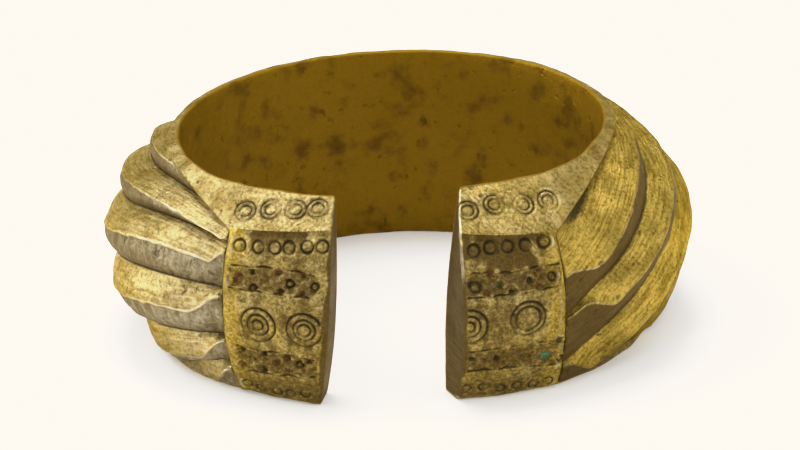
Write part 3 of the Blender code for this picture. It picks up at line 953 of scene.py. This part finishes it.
def panel_relief(border, end, stamps, run, down, zone, places):
    """Heights and masks of a panel: bumps, bead, stamps, bands of pits, and the worn far edge, where
    the stamps fade out.

    Patina lies by the greatest of its causes: the patches, the bands, the worn edge and a ground that
    thickens down to the foot. The bead's strip stays clearer of it and more golden.
    """
    way = float(np.sign(end.angle - border.angle))
    on_wall = (zone == 2).astype(float)
    height, groove, bead = [values * on_wall for values in border_relief(run, down)]
    beside = smooth((run - BEAD_MIDDLE) / UNDERCUT_START)
    undercut = hump(down - UNDERCUT_MIDDLE, UNDERCUT_WIDTH) * beside * on_wall
    height = height - UNDERCUT_DEPTH * undercut
    rough = unevenness(places, BAND_GRAIN, ROUGH_SEED)
    coarse = unevenness(places, COARSE_GRAIN, COARSE_SEED)

    cut, dark_fill, rim = struck_stamps(border, way, stamps, places)
    band, line_cut, line_dirt = drawn_bands(stamps.bands, run, down, coarse)
    pit_cut, pit_dirt, pit_rim, green, red = struck_pits(stamps.pits, run, down, coarse)
    cut = np.minimum(np.minimum(cut, line_cut), pit_cut)
    dark_fill = np.maximum(np.maximum(dark_fill, line_dirt), pit_dirt)
    rim = np.maximum(rim, pit_rim)
    height = height - band * (BAND_SINK + BAND_ROUGHNESS * rough)
    worn_at = np.interp(down, *np.array(stamps.worn).T)
    worn = smooth((run - worn_at + WORN_FADE + WORN_RAGGED * coarse) / WORN_FADE) * (zone > 0)
    sunk = WORN_SINK * np.clip((run - worn_at) / WORN_REACH, 0.0, 1.0) * worn
    height = height + cut * (1.0 - worn) - sunk

    masks = {name: np.zeros(run.shape) for name in MASKS}
    # Dirt in the stamps, and painted shade in the groove along the border
    masks["cavity"] = np.clip(np.maximum(dark_fill * (1.0 - worn), BORDER_SHADE * groove), 0.0, 1.0)
    # Bead wear, and rims painted lighter as partly burnished metal and partly a highlight
    masks["wear_and_highlight"] = np.clip(BEAD_WEAR * bead + RIM_WEAR_AND_HIGHLIGHT * rim * (1.0 - worn), 0.0, 1.0)
    low_down = FOOT_TARNISH * smooth((down - FOOT_TARNISH_FROM) / FOOT_TARNISH_FADE)
    ground = (PANEL_TARNISH + TARNISH_RAGGED * coarse) * smooth(run / TARNISH_START)
    patina = np.maximum(patina_patches(stamps.patches, run, down, coarse), BAND_TARNISH * band)
    patina = np.maximum(patina, np.maximum(worn, np.maximum(ground, low_down))) * on_wall
    strip = hump(run - BEAD_MIDDLE, STRIP_WIDTH) * on_wall
    clear = STRIP_CLEAR * strip * (1.0 - STRIP_CROSSED * band)
    masks["dull"] = np.clip(patina, 0.0, 1.0) * (1.0 - clear)
    gold = PANEL_GOLD + STRIP_GOLD * strip + LOW_GOLD * smooth((down - LOW_GOLD_FROM) / LOW_GOLD_FADE)
    masks["gold"] = np.clip(gold, 0.0, 1.0) * on_wall
    masks["gold"] += (FACET_GOLD_RIGHT if end is RIGHT_END else FACET_GOLD_LEFT) * (zone == 1)
    masks["inside"] = (zone == 0).astype(float)
    green = np.maximum(green, SPREAD_GREEN * dark_fill * (coarse > SPREAD_GREEN_ABOVE))
    masks["green"] = green * (1.0 - worn) * on_wall
    masks["red"] = red * (1.0 - worn) * on_wall
    return height + soft_bumps(places), masks


def stitched(near, near_label, far, far_label):
    """Triangles between two lines of points: each step of one line is joined to the point that the
    other line has reached by the step's middle."""
    near_middle = (near_label[1:] + near_label[:-1]) / 2.0
    far_middle = (far_label[1:] + far_label[:-1]) / 2.0
    reached_far = far[np.searchsorted(far_middle, near_middle, side="left")]
    reached_near = near[np.searchsorted(near_middle, far_middle, side="right")]
    return np.concatenate([
        np.stack([near[:-1], near[1:], reached_far], axis=1),
        np.stack([far[1:], far[:-1], reached_near], axis=1),
    ])


def woven(index):
    """Two triangles for each cell of closed rings of points; a cell's repeated points drop out later."""
    onward = np.roll(index, -1, axis=1)
    near, far, near_on, far_on = index[:-1], index[1:], onward[:-1], onward[1:]
    corners = [np.stack([near, near_on, far], axis=-1), np.stack([far_on, far, near_on], axis=-1)]
    return np.concatenate([c.reshape(-1, 3) for c in corners])


def closed_ring(index, label):
    """A ring's points and labels with its first point again at the end."""
    return np.append(index, index[0]), np.append(label, 4.0)


def cap_triangles(ring, z, spine, spine_first):
    """Triangles between an end face's innermost ring and its spine, bore side and outer side."""
    top = int(np.argmax(z))
    tall = z[top] - z[0]
    up_label = (np.maximum.accumulate(z[:top + 1]) - z[0]) / tall
    down_label = np.maximum.accumulate(z[top] - np.append(z[top:], z[0])) / tall
    spine_label = np.linspace(0.0, 1.0, len(spine))
    sides = [
        (ring[:top + 1], up_label, spine, spine_label),
        (np.append(ring[top:], ring[0]), down_label, spine[::-1], spine_label),
    ]
    if spine_first:
        sides = [(*side[2:], *side[:2]) for side in sides]
    return np.concatenate([stitched(*side) for side in sides])


def casting():
    """Points, triangles, masks and marks of the whole casting, from the right end to the left one."""
    right, right_cap, right_spine = panel(RIGHT_BORDER, RIGHT_END, RIGHT_COLUMNS, RIGHT_STAMPS)
    left, left_cap, left_spine = panel(LEFT_BORDER, LEFT_END, LEFT_COLUMNS, LEFT_STAMPS)
    round_hoop = hoop()
    right = right._replace(
        points=right.points[::-1], label=right.label[::-1], marks=right.marks[::-1],
        masks={name: values[::-1] for name, values in right.masks.items()},
    )
    grids = [right_spine[None], right_cap[::-1], right.points, round_hoop.points]
    grids += [left.points, left_cap, left_spine[None]]
    sizes = [grid.shape[0] * grid.shape[1] for grid in grids]
    starts = np.cumsum([0] + sizes[:-1])
    index = [
        start + np.arange(size).reshape(grid.shape[:2])
        for start, size, grid in zip(starts, sizes, grids)
    ]
    columns = np.arange(round_hoop.use.shape[0])[:, None]
    index[3] = index[3][columns, round_hoop.use]
    triangles = [
        cap_triangles(index[1][0], right_cap[-1][:, 2], index[0][0], True),
        woven(np.concatenate([index[1], index[2]])),
        seam(index[2][-1], right.label[-1], index[3][0], round_hoop.label[0]),
        woven(index[3]),
        seam(index[3][-1], round_hoop.label[-1], index[4][0], left.label[0]),
        woven(np.concatenate([index[4], index[5]])),
        cap_triangles(index[5][-1], left_cap[-1][:, 2], index[6][0], False),
    ]
    triangles = np.concatenate(triangles)
    a, b, c = triangles.T
    triangles = triangles[(a != b) & (b != c) & (c != a)]
    points = np.concatenate([grid.reshape(-1, 3) for grid in grids])
    bare = {"dull": 1.0, "cavity": END_FACE_DIRT}
    masks = {}
    for name in MASKS:
        plain = [np.full(grid.shape[:2], bare.get(name, 0.0)) for grid in grids]
        plain[2], plain[3], plain[4] = right.masks[name], round_hoop.masks[name], left.masks[name]
        masks[name] = np.concatenate([np.ravel(values) for values in plain])
    marks = [grid[..., 1:] for grid in grids]
    marks[2], marks[3], marks[4] = right.marks, round_hoop.marks, left.marks
    marks = np.concatenate([values.reshape(-1, 2) for values in marks])
    used, triangles = np.unique(triangles, return_inverse=True)
    triangles = triangles.reshape(-1, 3)
    masks = {name: values[used] for name, values in masks.items()}
    return points[used], triangles, masks, marks[used]


def seam(near, near_label, far, far_label):
    """Triangles between two closed rings with different rows, held points taken once."""
    near, first = np.unique(near, return_index=True)
    far, far_first = np.unique(far, return_index=True)
    return stitched(*closed_ring(near, near_label[first]), *closed_ring(far, far_label[far_first]))


def detailed_bracelet():
    """The casting as one smooth-shaded object, standing where the solid stands and drawn up by a hair
    along each axis where its bumps would pass the solid's box."""
    points, triangles, masks, marks = casting()
    low, high = points.min(axis=0), points.max(axis=0)
    cad_low, cad_high = np.array(cad_box[0]) / MM, np.array(cad_box[1]) / MM
    drawn_up = np.minimum((cad_high - cad_low) / (high - low), 1.0)
    points = points * drawn_up
    shift = (cad_low + cad_high) / 2.0 - (low + high) / 2.0 * drawn_up
    shift[2] = cad_low[2] - low[2] * drawn_up[2]
    points = points + shift
    mesh = bpy.data.meshes.new("bracelet_casting")
    mesh.vertices.add(len(points))
    mesh.vertices.foreach_set("co", (points * MM).ravel())
    mesh.loops.add(triangles.size)
    mesh.loops.foreach_set("vertex_index", triangles.ravel())
    mesh.polygons.add(len(triangles))
    mesh.polygons.foreach_set("loop_start", np.arange(0, triangles.size, 3))
    mesh.polygons.foreach_set("loop_total", np.full(len(triangles), 3))
    mesh.update(calc_edges=True)
    for name, values in masks.items():
        mesh.attributes.new(name, "FLOAT", "POINT").data.foreach_set("value", values.astype(np.float32))
    uv = mesh.uv_layers.new(name="marks")
    uv.data.foreach_set("uv", marks[triangles.ravel()].astype(np.float32).ravel())
    mesh.validate()
    mesh.shade_smooth()
    mesh.set_sharp_from_angle(angle=np.radians(SHARP_ANGLE))
    casting_object = bpy.data.objects.new("bracelet_casting", mesh)
    bpy.context.scene.collection.objects.link(casting_object)
    return casting_object, shift


# The camera: how far it looks down, how far off it stands, its roll and its view
LOOK_DOWN = 26.0
CAMERA_AWAY = 450.0
CAMERA_ROLL = 1.5
VIEW_PIXELS = 3259.5
AIM_PIXEL = (393.85, 215.85)
AIM_HEIGHT = 14.55
IMAGE_SIZE = (800, 450)
SENSOR = 36.0
NEAREST_SEEN = 0.01
FURTHEST_SEEN = 20.0


def camera(aim):
    """The camera, aimed so that the bore's middle falls on its pixel, with no lens shift."""
    tip, roll = np.radians(LOOK_DOWN), np.radians(CAMERA_ROLL)
    back = np.array([0.0, -np.cos(tip), np.sin(tip)])
    right = np.array([np.cos(roll), -np.sin(roll) * np.sin(tip), -np.sin(roll) * np.cos(tip)])
    up = np.array([np.sin(roll), np.cos(roll) * np.sin(tip), np.cos(roll) * np.cos(tip)])
    place = aim + back * CAMERA_AWAY
    look = (IMAGE_SIZE[0] / 2 - AIM_PIXEL[0]) / VIEW_PIXELS * right
    look = look - (IMAGE_SIZE[1] / 2 - AIM_PIXEL[1]) / VIEW_PIXELS * up - back
    back = -look / np.linalg.norm(look)
    right = np.cross(up, back)
    right /= np.linalg.norm(right)
    up = np.cross(back, right)
    data = bpy.data.cameras.new("camera")
    data.sensor_width = SENSOR
    data.lens = VIEW_PIXELS * SENSOR / IMAGE_SIZE[0]
    data.clip_start = NEAREST_SEEN
    data.clip_end = FURTHEST_SEEN
    made = bpy.data.objects.new("camera", data)
    columns = np.stack([right, up, back, place * MM], axis=1)
    made.matrix_world = Matrix([*columns.tolist(), [0.0, 0.0, 0.0, 1.0]])
    bpy.context.scene.collection.objects.link(made)
    bpy.context.scene.camera = made


def soft_light(name, place, aim, size, power):
    """A square soft box, in metres and watts, facing a point."""
    data = bpy.data.lights.new(name, "AREA")
    data.shape = "RECTANGLE"
    data.size, data.size_y = size
    data.energy = power
    made = bpy.data.objects.new(name, data)
    made.location = place
    made.rotation_euler = (Vector(aim) - Vector(place)).to_track_quat("-Z", "Y").to_euler()
    bpy.context.scene.collection.objects.link(made)


# The pale sheet that the bracelet stands on, with half its width in metres
FLOOR_HALF = 3.0
PAPER = (0.85, 0.83, 0.79, 1.0)
PAPER_ROUGHNESS = 0.9
PAPER_SPECULAR = 0.1
PAPER_GLOW = (1.0, 0.98, 0.95, 1.0)
PAPER_GLOW_STRENGTH = 0.15


def floor():
    """A wide pale sheet under the bracelet."""
    mesh = bpy.data.meshes.new("floor")
    corners = [(x * FLOOR_HALF, y * FLOOR_HALF, 0.0) for x, y in ((-1, -1), (1, -1), (1, 1), (-1, 1))]
    mesh.from_pydata(corners, [], [(0, 1, 2, 3)])
    made = bpy.data.objects.new("floor", mesh)
    bpy.context.scene.collection.objects.link(made)
    paper = bpy.data.materials.new("pale_paper")
    paper.use_nodes = True
    shader = paper.node_tree.nodes["Principled BSDF"]
    shader.inputs["Base Color"].default_value = PAPER
    shader.inputs["Roughness"].default_value = PAPER_ROUGHNESS
    shader.inputs["Specular IOR Level"].default_value = PAPER_SPECULAR
    shader.inputs["Emission Color"].default_value = PAPER_GLOW
    shader.inputs["Emission Strength"].default_value = PAPER_GLOW_STRENGTH
    mesh.materials.append(paper)


def feed(tree, node, inputs):
    """Give a node its inputs, each from a socket or as a value."""
    for name, value in dict(inputs).items():
        if isinstance(value, bpy.types.NodeSocket):
            tree.links.new(value, node.inputs[name])
        else:
            node.inputs[name].default_value = value


def add(tree, kind, inputs=(), output=0, **settings):
    """One shader node: its settings, then its inputs by name or number; gives an output socket."""
    made = tree.nodes.new(kind)
    for name, value in settings.items():
        setattr(made, name, value)
    feed(tree, made, inputs)
    return made.outputs[output]


def maths(tree, operation, first, second=0.0, clamp=False):
    """One sum of two values, by the operation's name."""
    return add(tree, "ShaderNodeMath", {0: first, 1: second}, operation=operation, use_clamp=clamp)


def blend(tree, share, first, second, kind="MIX"):
    """A colour between two, by a share."""
    inputs = {0: share, 6: first, 7: second}
    return add(tree, "ShaderNodeMix", inputs, output=2, data_type="RGBA", blend_type=kind)


def between(tree, value, low, high, to_low=0.0, to_high=1.0):
    """A value spread softly from one range to another."""
    inputs = {0: value, 1: low, 2: high, 3: to_low, 4: to_high}
    return add(tree, "ShaderNodeMapRange", inputs, interpolation_type="SMOOTHSTEP")


def cloud(tree, vector, scale, detail=3.0, roughness=0.55):
    """Noise about 0.5, with so many blotches to the metre."""
    inputs = {"Vector": vector, "Scale": scale, "Detail": detail, "Roughness": roughness}
    return add(tree, "ShaderNodeTexNoise", inputs)


def group(name, inputs, outputs):
    """An empty shader group with its named sockets, and its input and output nodes."""
    tree = bpy.data.node_groups.new(name, "ShaderNodeTree")
    kinds = {"value": "NodeSocketFloat", "colour": "NodeSocketColor", "vector": "NodeSocketVector"}
    for label, kind, default in inputs:
        socket = tree.interface.new_socket(label, in_out="INPUT", socket_type=kinds[kind])
        socket.default_value = default
    for label, kind in outputs:
        tree.interface.new_socket(label, in_out="OUTPUT", socket_type=kinds[kind])
    entry = tree.nodes.new("NodeGroupInput")
    leave = tree.nodes.new("NodeGroupOutput")
    return tree, entry.outputs, leave.inputs


def use(tree, shared, inputs=()):
    """A shared group placed in a material, with its values for the inputs."""
    made = tree.nodes.new("ShaderNodeGroup")
    made.node_tree = shared
    feed(tree, made, inputs)
    return made.outputs


def ragged_mask():
    """A painted mask made ragged by noise, then sharpened."""
    tree, entry, leave = group("ragged_mask", [
        ("Vector", "vector", (0.0, 0.0, 0.0)), ("Mask", "value", 0.0), ("Scale", "value", 500.0),
        ("Raggedness", "value", 0.5), ("Low", "value", 0.35), ("High", "value", 0.65),
    ], [("Mask", "value")])
    coarse = cloud(tree, entry["Vector"], entry["Scale"], 5.0, 0.65)
    either_way = maths(tree, "SUBTRACT", coarse, 0.5)
    shift = maths(tree, "MULTIPLY", either_way, maths(tree, "MULTIPLY", entry["Raggedness"], 2.0))
    torn = maths(tree, "ADD", entry["Mask"], shift)
    tree.links.new(between(tree, torn, entry["Low"], entry["High"]), leave["Mask"])
    return tree


def drawn_streaks():
    """Fine streaks along the ribs, from noise drawn out along the marks map."""
    tree, entry, leave = group("drawn_streaks", [
        ("Vector", "vector", (0.0, 0.0, 0.0)), ("Stretch", "value", 7.0), ("Scale", "value", 2.0),
    ], [("Streaks", "value")])
    parts = add(tree, "ShaderNodeSeparateXYZ", {0: entry["Vector"]})
    along = maths(tree, "DIVIDE", parts, entry["Stretch"])
    across = add(tree, "ShaderNodeSeparateXYZ", {0: entry["Vector"]}, output=1)
    drawn = add(tree, "ShaderNodeCombineXYZ", {0: along, 1: across, 2: 0.0})
    tree.links.new(cloud(tree, drawn, entry["Scale"], 4.0, 0.6), leave["Streaks"])
    return tree


def metal_grain():
    """Pitted grain of an old casting: a height from fine noise and sparse pits."""
    tree, entry, leave = group("metal_grain", [
        ("Vector", "vector", (0.0, 0.0, 0.0)), ("Grain", "value", 3000.0), ("Pits", "value", 900.0),
    ], [("Height", "value"), ("Pits", "value")])
    fine = cloud(tree, entry["Vector"], entry["Grain"], 4.0, 0.7)
    spread = cloud(tree, entry["Vector"], entry["Pits"], 2.0, 0.5)
    pits = between(tree, spread, 0.66, 0.74)
    height = maths(tree, "SUBTRACT", fine, maths(tree, "MULTIPLY", pits, 1.5))
    tree.links.new(height, leave["Height"])
    tree.links.new(pits, leave["Pits"])
    return tree


# Colours of the old brass, as linear light
YELLOW_BRASS = (0.38, 0.262, 0.05, 1.0)
TAN_BRASS = (0.365, 0.283, 0.117, 1.0)
OLIVE_BRASS = (0.15, 0.102, 0.018, 1.0)
BROWN_PATINA = (0.05, 0.028, 0.005, 1.0)
GREY_PATINA = (0.14, 0.087, 0.021, 1.0)
# The bore's brass, darkened as painted shade inside the bore, and its darker spots
SHADED_INSIDE_BROWN = (0.188, 0.102, 0.0034, 1.0)
SHADED_INSIDE_DARK = (0.095, 0.049, 0.0025, 1.0)
# Pale metal of worn places and of painted highlights
BRIGHT_WEAR_AND_HIGHLIGHT = (0.60, 0.52, 0.34, 1.0)
# Near black of dirt and of painted shade in the grooves
DIRT_AND_SHADE = (0.016, 0.012, 0.004, 1.0)
GREEN_RUST = (0.035, 0.065, 0.022, 1.0)
TEAL_RUST = (0.035, 0.19, 0.11, 1.0)
RED_RUST = (0.12, 0.04, 0.015, 1.0)
SPECKLE_TINT = (0.34, 0.29, 0.20, 1.0)
STREAK_TINT = (0.5, 0.42, 0.25, 1.0)
EDGE_TINT = (0.85, 0.68, 0.36, 1.0)
GRAIN_HEIGHT = 0.00012
STREAK_HEIGHT = 0.00012
SPECULAR_LEVEL = 0.15

# How each painted mask is torn: the noise's scale, its raggedness and the range it is cut to
Torn = namedtuple("Torn", "scale raggedness low high")
TORN = {
    "gold": Torn(420.0, 0.5, 0.15, 0.95),
    "dull": Torn(1500.0, 0.7, 0.2, 0.8),
    "wear_and_highlight": Torn(1100.0, 0.45, 0.4, 0.95),
    "cavity": Torn(1400.0, 0.3, 0.25, 0.75),
    "red": Torn(2200.0, 1.0, 0.3, 0.9),
    "green": Torn(2200.0, 1.3, 0.3, 0.9),
}

# Scales of the noises, and the share of each layer that is laid over the metal
GRAIN_SCALE = 3200.0
PIT_SCALE = 700.0
BLOTCH_SCALE = 260.0
SPECKLE_SCALE = 2300.0
SPOT_SCALE = 300.0
STREAK_SCALE = 2.2
BEATEN_STRETCH = 0.4
BEATEN_SCALE = 0.5
OLIVE_SHARE = 0.7
PATINA_SHARE = 0.92
LINE_SHARE = 0.35
BEATEN_SHARE = 0.47
SPECKLE_SHARE = 0.75
INSIDE_CALM = 0.75
WEAR_AND_HIGHLIGHT_SHARE = 0.75
PIT_SHARE = 0.55
DIRT_AND_SHADE_SHARE = 0.88
RED_SHARE = 0.6
GREEN_SHARE = 0.75
OLIVE_BLOTCHES = 0.6
OLIVE_LINES = 0.5

# Ranges that a noise or a mask is spread from and, for some, the range that it is spread to
OLIVE_RANGE = (0.44, 0.66)
GREY_RANGE = (0.4, 0.62)
THICK_PATINA = (0.78, 1.0, 0.0, 0.48)
LINE_RANGE = (0.42, 0.62)
BEATEN_RANGE = (0.38, 0.68, 0.35, 1.0)
SPOT_RANGE = (0.5, 0.75)
SPECKLE_RANGE = (0.45, 0.66)
PATCHY_WEAR_AND_HIGHLIGHT = (0.35, 0.6, 0.35, 1.0)
TEAL_RANGE = (0.6, 0.75)
ROUGHNESS_RANGE = (0.3, 0.7, 0.34, 0.48)

# How far each covering takes the metal's shine away, and how rough or smooth it makes it
DULL_COVER = 0.5
RED_COVER = 0.8
INSIDE_COVER = 0.5
COVERED_ROUGHER = 0.3
WORN_SMOOTHER = 0.14


def brass():
    """Old cast brass: worn yellow metal under tan and brown patina, dirt in the stamps and painted
    shade in the grooves, darker brass painted as shade inside the bore, pale crests and edges that
    are partly wear and partly painted highlights, green and red corrosion in the stamps."""
    material = bpy.data.materials.new("old_brass")
    material.use_nodes = True
    tree = material.node_tree
    shader = tree.nodes["Principled BSDF"]
    place = add(tree, "ShaderNodeTexCoord", output=3)
    marks = add(tree, "ShaderNodeUVMap", uv_map="marks")
    mask = {name: add(tree, "ShaderNodeAttribute", output=2, attribute_name=name) for name in MASKS}
    ragged, streaks, grain = ragged_mask(), drawn_streaks(), metal_grain()

    def torn(name):
        scale, raggedness, low, high = TORN[name]
        inputs = {"Vector": place, "Mask": mask[name], "Scale": scale, "Raggedness": raggedness}
        return use(tree, ragged, {**inputs, "Low": low, "High": high})["Mask"]

    def part(value, amount):
        return maths(tree, "MULTIPLY", value, amount)

    def drawn_out(stretch, scale):
        return use(tree, streaks, {"Vector": marks, "Stretch": stretch, "Scale": scale})["Streaks"]

    surface = use(tree, grain, {"Vector": place, "Grain": GRAIN_SCALE, "Pits": PIT_SCALE})
    line = drawn_out(STREAK_STRETCH, STREAK_SCALE)
    blotch = cloud(tree, place, BLOTCH_SCALE, 5.0, 0.6)
    speckle = cloud(tree, place, SPECKLE_SCALE, 4.0, 0.65)

    colour = blend(tree, torn("gold"), TAN_BRASS, YELLOW_BRASS)
    olive = maths(tree, "ADD", part(blotch, OLIVE_BLOTCHES), part(line, OLIVE_LINES))
    olive = part(between(tree, olive, *OLIVE_RANGE), OLIVE_SHARE)
    colour = blend(tree, olive, colour, OLIVE_BRASS)
    dull = torn("dull")
    patina = blend(tree, between(tree, speckle, *GREY_RANGE), BROWN_PATINA, GREY_PATINA)
    thick = between(tree, mask["dull"], *THICK_PATINA)
    patina = blend(tree, thick, patina, BROWN_PATINA)
    colour = blend(tree, part(dull, PATINA_SHARE), colour, patina)
    lines = between(tree, line, *LINE_RANGE)
    colour = blend(tree, part(lines, LINE_SHARE), colour, STREAK_TINT, "MULTIPLY")
    planished = between(tree, drawn_out(BEATEN_STRETCH, BEATEN_SCALE), *BEATEN_RANGE)
    beaten = maths(tree, "MULTIPLY", mask["beaten"], planished)
    colour = blend(tree, part(beaten, BEATEN_SHARE), colour, BRIGHT_WEAR_AND_HIGHLIGHT)
    spots = between(tree, cloud(tree, place, SPOT_SCALE, 3.0, 0.5), *SPOT_RANGE)
    # Inside the bore the colour is darker brass, painted as the bore's shade, with darker spots
    colour = blend(tree, mask["inside"], colour, blend(tree, spots, SHADED_INSIDE_BROWN, SHADED_INSIDE_DARK))
    calm = maths(tree, "SUBTRACT", 1.0, part(mask["inside"], INSIDE_CALM))
    fine = part(between(tree, speckle, *SPECKLE_RANGE), SPECKLE_SHARE)
    fine = maths(tree, "MULTIPLY", fine, calm)
    colour = blend(tree, fine, colour, SPECKLE_TINT, "MULTIPLY")
    # Pale metal where the mask says: worn places, and painted highlights on crests and edges
    patchy = between(tree, blotch, *PATCHY_WEAR_AND_HIGHLIGHT)
    wear_and_highlight = maths(tree, "MULTIPLY", torn("wear_and_highlight"), patchy)
    colour = blend(tree, part(wear_and_highlight, WEAR_AND_HIGHLIGHT_SHARE), colour, BRIGHT_WEAR_AND_HIGHLIGHT)
    pits = maths(tree, "MULTIPLY", part(surface["Pits"], PIT_SHARE), calm)
    # Dark of dirt in stamps, pits and end faces, and painted shade in the grooves and along the border
    dark_fill = maths(tree, "MAXIMUM", torn("cavity"), pits)
    colour = blend(tree, part(dark_fill, DIRT_AND_SHADE_SHARE), colour, DIRT_AND_SHADE)
    red, green = torn("red"), torn("green")
    colour = blend(tree, part(red, RED_SHARE), colour, RED_RUST)
    rust = blend(tree, between(tree, mask["green"], *TEAL_RANGE), GREEN_RUST, TEAL_RUST)
    colour = blend(tree, part(green, GREEN_SHARE), colour, rust)
    tree.links.new(colour, shader.inputs["Base Color"])

    covered = maths(tree, "MAXIMUM", part(dull, DULL_COVER), dark_fill)
    rusted = maths(tree, "MAXIMUM", part(red, RED_COVER), green)
    covered = maths(tree, "MAXIMUM", covered, rusted)
    shader.inputs["Specular IOR Level"].default_value = SPECULAR_LEVEL
    shader.inputs["Specular Tint"].default_value = EDGE_TINT
    tarnished = maths(tree, "MAXIMUM", covered, part(mask["inside"], INSIDE_COVER))
    tree.links.new(maths(tree, "SUBTRACT", 1.0, tarnished, clamp=True), shader.inputs["Metallic"])
    rough = between(tree, blotch, *ROUGHNESS_RANGE)
    rough = maths(tree, "ADD", rough, part(covered, COVERED_ROUGHER))
    rough = maths(tree, "SUBTRACT", rough, part(wear_and_highlight, WORN_SMOOTHER), clamp=True)
    tree.links.new(rough, shader.inputs["Roughness"])

    grained = {"Height": surface["Height"], "Distance": GRAIN_HEIGHT, "Strength": 1.0}
    grained = add(tree, "ShaderNodeBump", grained)
    drawn = {"Height": line, "Distance": STREAK_HEIGHT, "Strength": 1.0, "Normal": grained}
    tree.links.new(add(tree, "ShaderNodeBump", drawn), shader.inputs["Normal"])
    return material


# The picture's response: exposed for the metal, with a warm shoulder where the floor runs out of
# range. Each curve goes through these shares of the white level and tones, then its own end.
WHITE_LEVEL = 1.7
SHOULDER = ((0.0, 0.0), (0.25, 0.425), (0.5, 0.78))
SHOULDER_ENDS = (0.985, 0.95, 0.875)


def picture_response():
    """Plain view of the light, bent over softly towards a warm white."""
    view = bpy.context.scene.view_settings
    view.view_transform = "Standard"
    view.use_curve_mapping = True
    mapping = view.curve_mapping
    mapping.extend = "HORIZONTAL"
    mapping.white_level = (WHITE_LEVEL, WHITE_LEVEL, WHITE_LEVEL)
    for curve, end in zip(mapping.curves, SHOULDER_ENDS):
        curve.points[0].location = SHOULDER[0]
        curve.points[1].location = (1.0, end)
        for share, tone in SHOULDER[1:]:
            curve.points.new(share, tone)
    mapping.update()


# The soft boxes: name, place and aim in metres, width and height in metres, and power in watts
SOFT_BOXES = (
    ("top_box", (0.0, 0.1, 1.3), (0.0, 0.0, 0.0), (2.4, 1.8), 12.0),
    ("key_box", (-0.1, 0.25, 1.2), (0.0, 0.0, 0.0), (0.4, 0.4), 9.0),
    ("upper_left_box", (-0.5, 0.1, 0.5), (0.0, 0.0, 0.0), (0.3, 0.3), 3.0),
    ("left_box", (-0.55, 0.0, 0.06), (0.0, 0.0, 0.01), (0.35, 0.1), 1.8),
    ("right_box", (0.55, -0.2, 0.2), (0.0, 0.0, 0.01), (0.35, 0.25), 1.4),
)
STUDIO_LIGHT = (1.0, 0.99, 0.97, 1.0)
STUDIO_STRENGTH = 0.8


def surroundings():
    """An even warm-white studio light with soft boxes over and beside the bracelet."""
    world = bpy.data.worlds.new("studio")
    bpy.context.scene.world = world
    world.use_nodes = True
    background = world.node_tree.nodes["Background"]
    background.inputs["Color"].default_value = STUDIO_LIGHT
    background.inputs["Strength"].default_value = STUDIO_STRENGTH
    for box in SOFT_BOXES:
        soft_light(*box)
    picture_response()


def main():
    piece, shift = detailed_bracelet()
    piece.data.materials.append(brass())
    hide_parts(NODE)
    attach(piece, "root")
    camera(shift + np.array([0.0, 0.0, AIM_HEIGHT]))
    floor()
    surroundings()
    print("triangles", len(piece.data.polygons))


main()
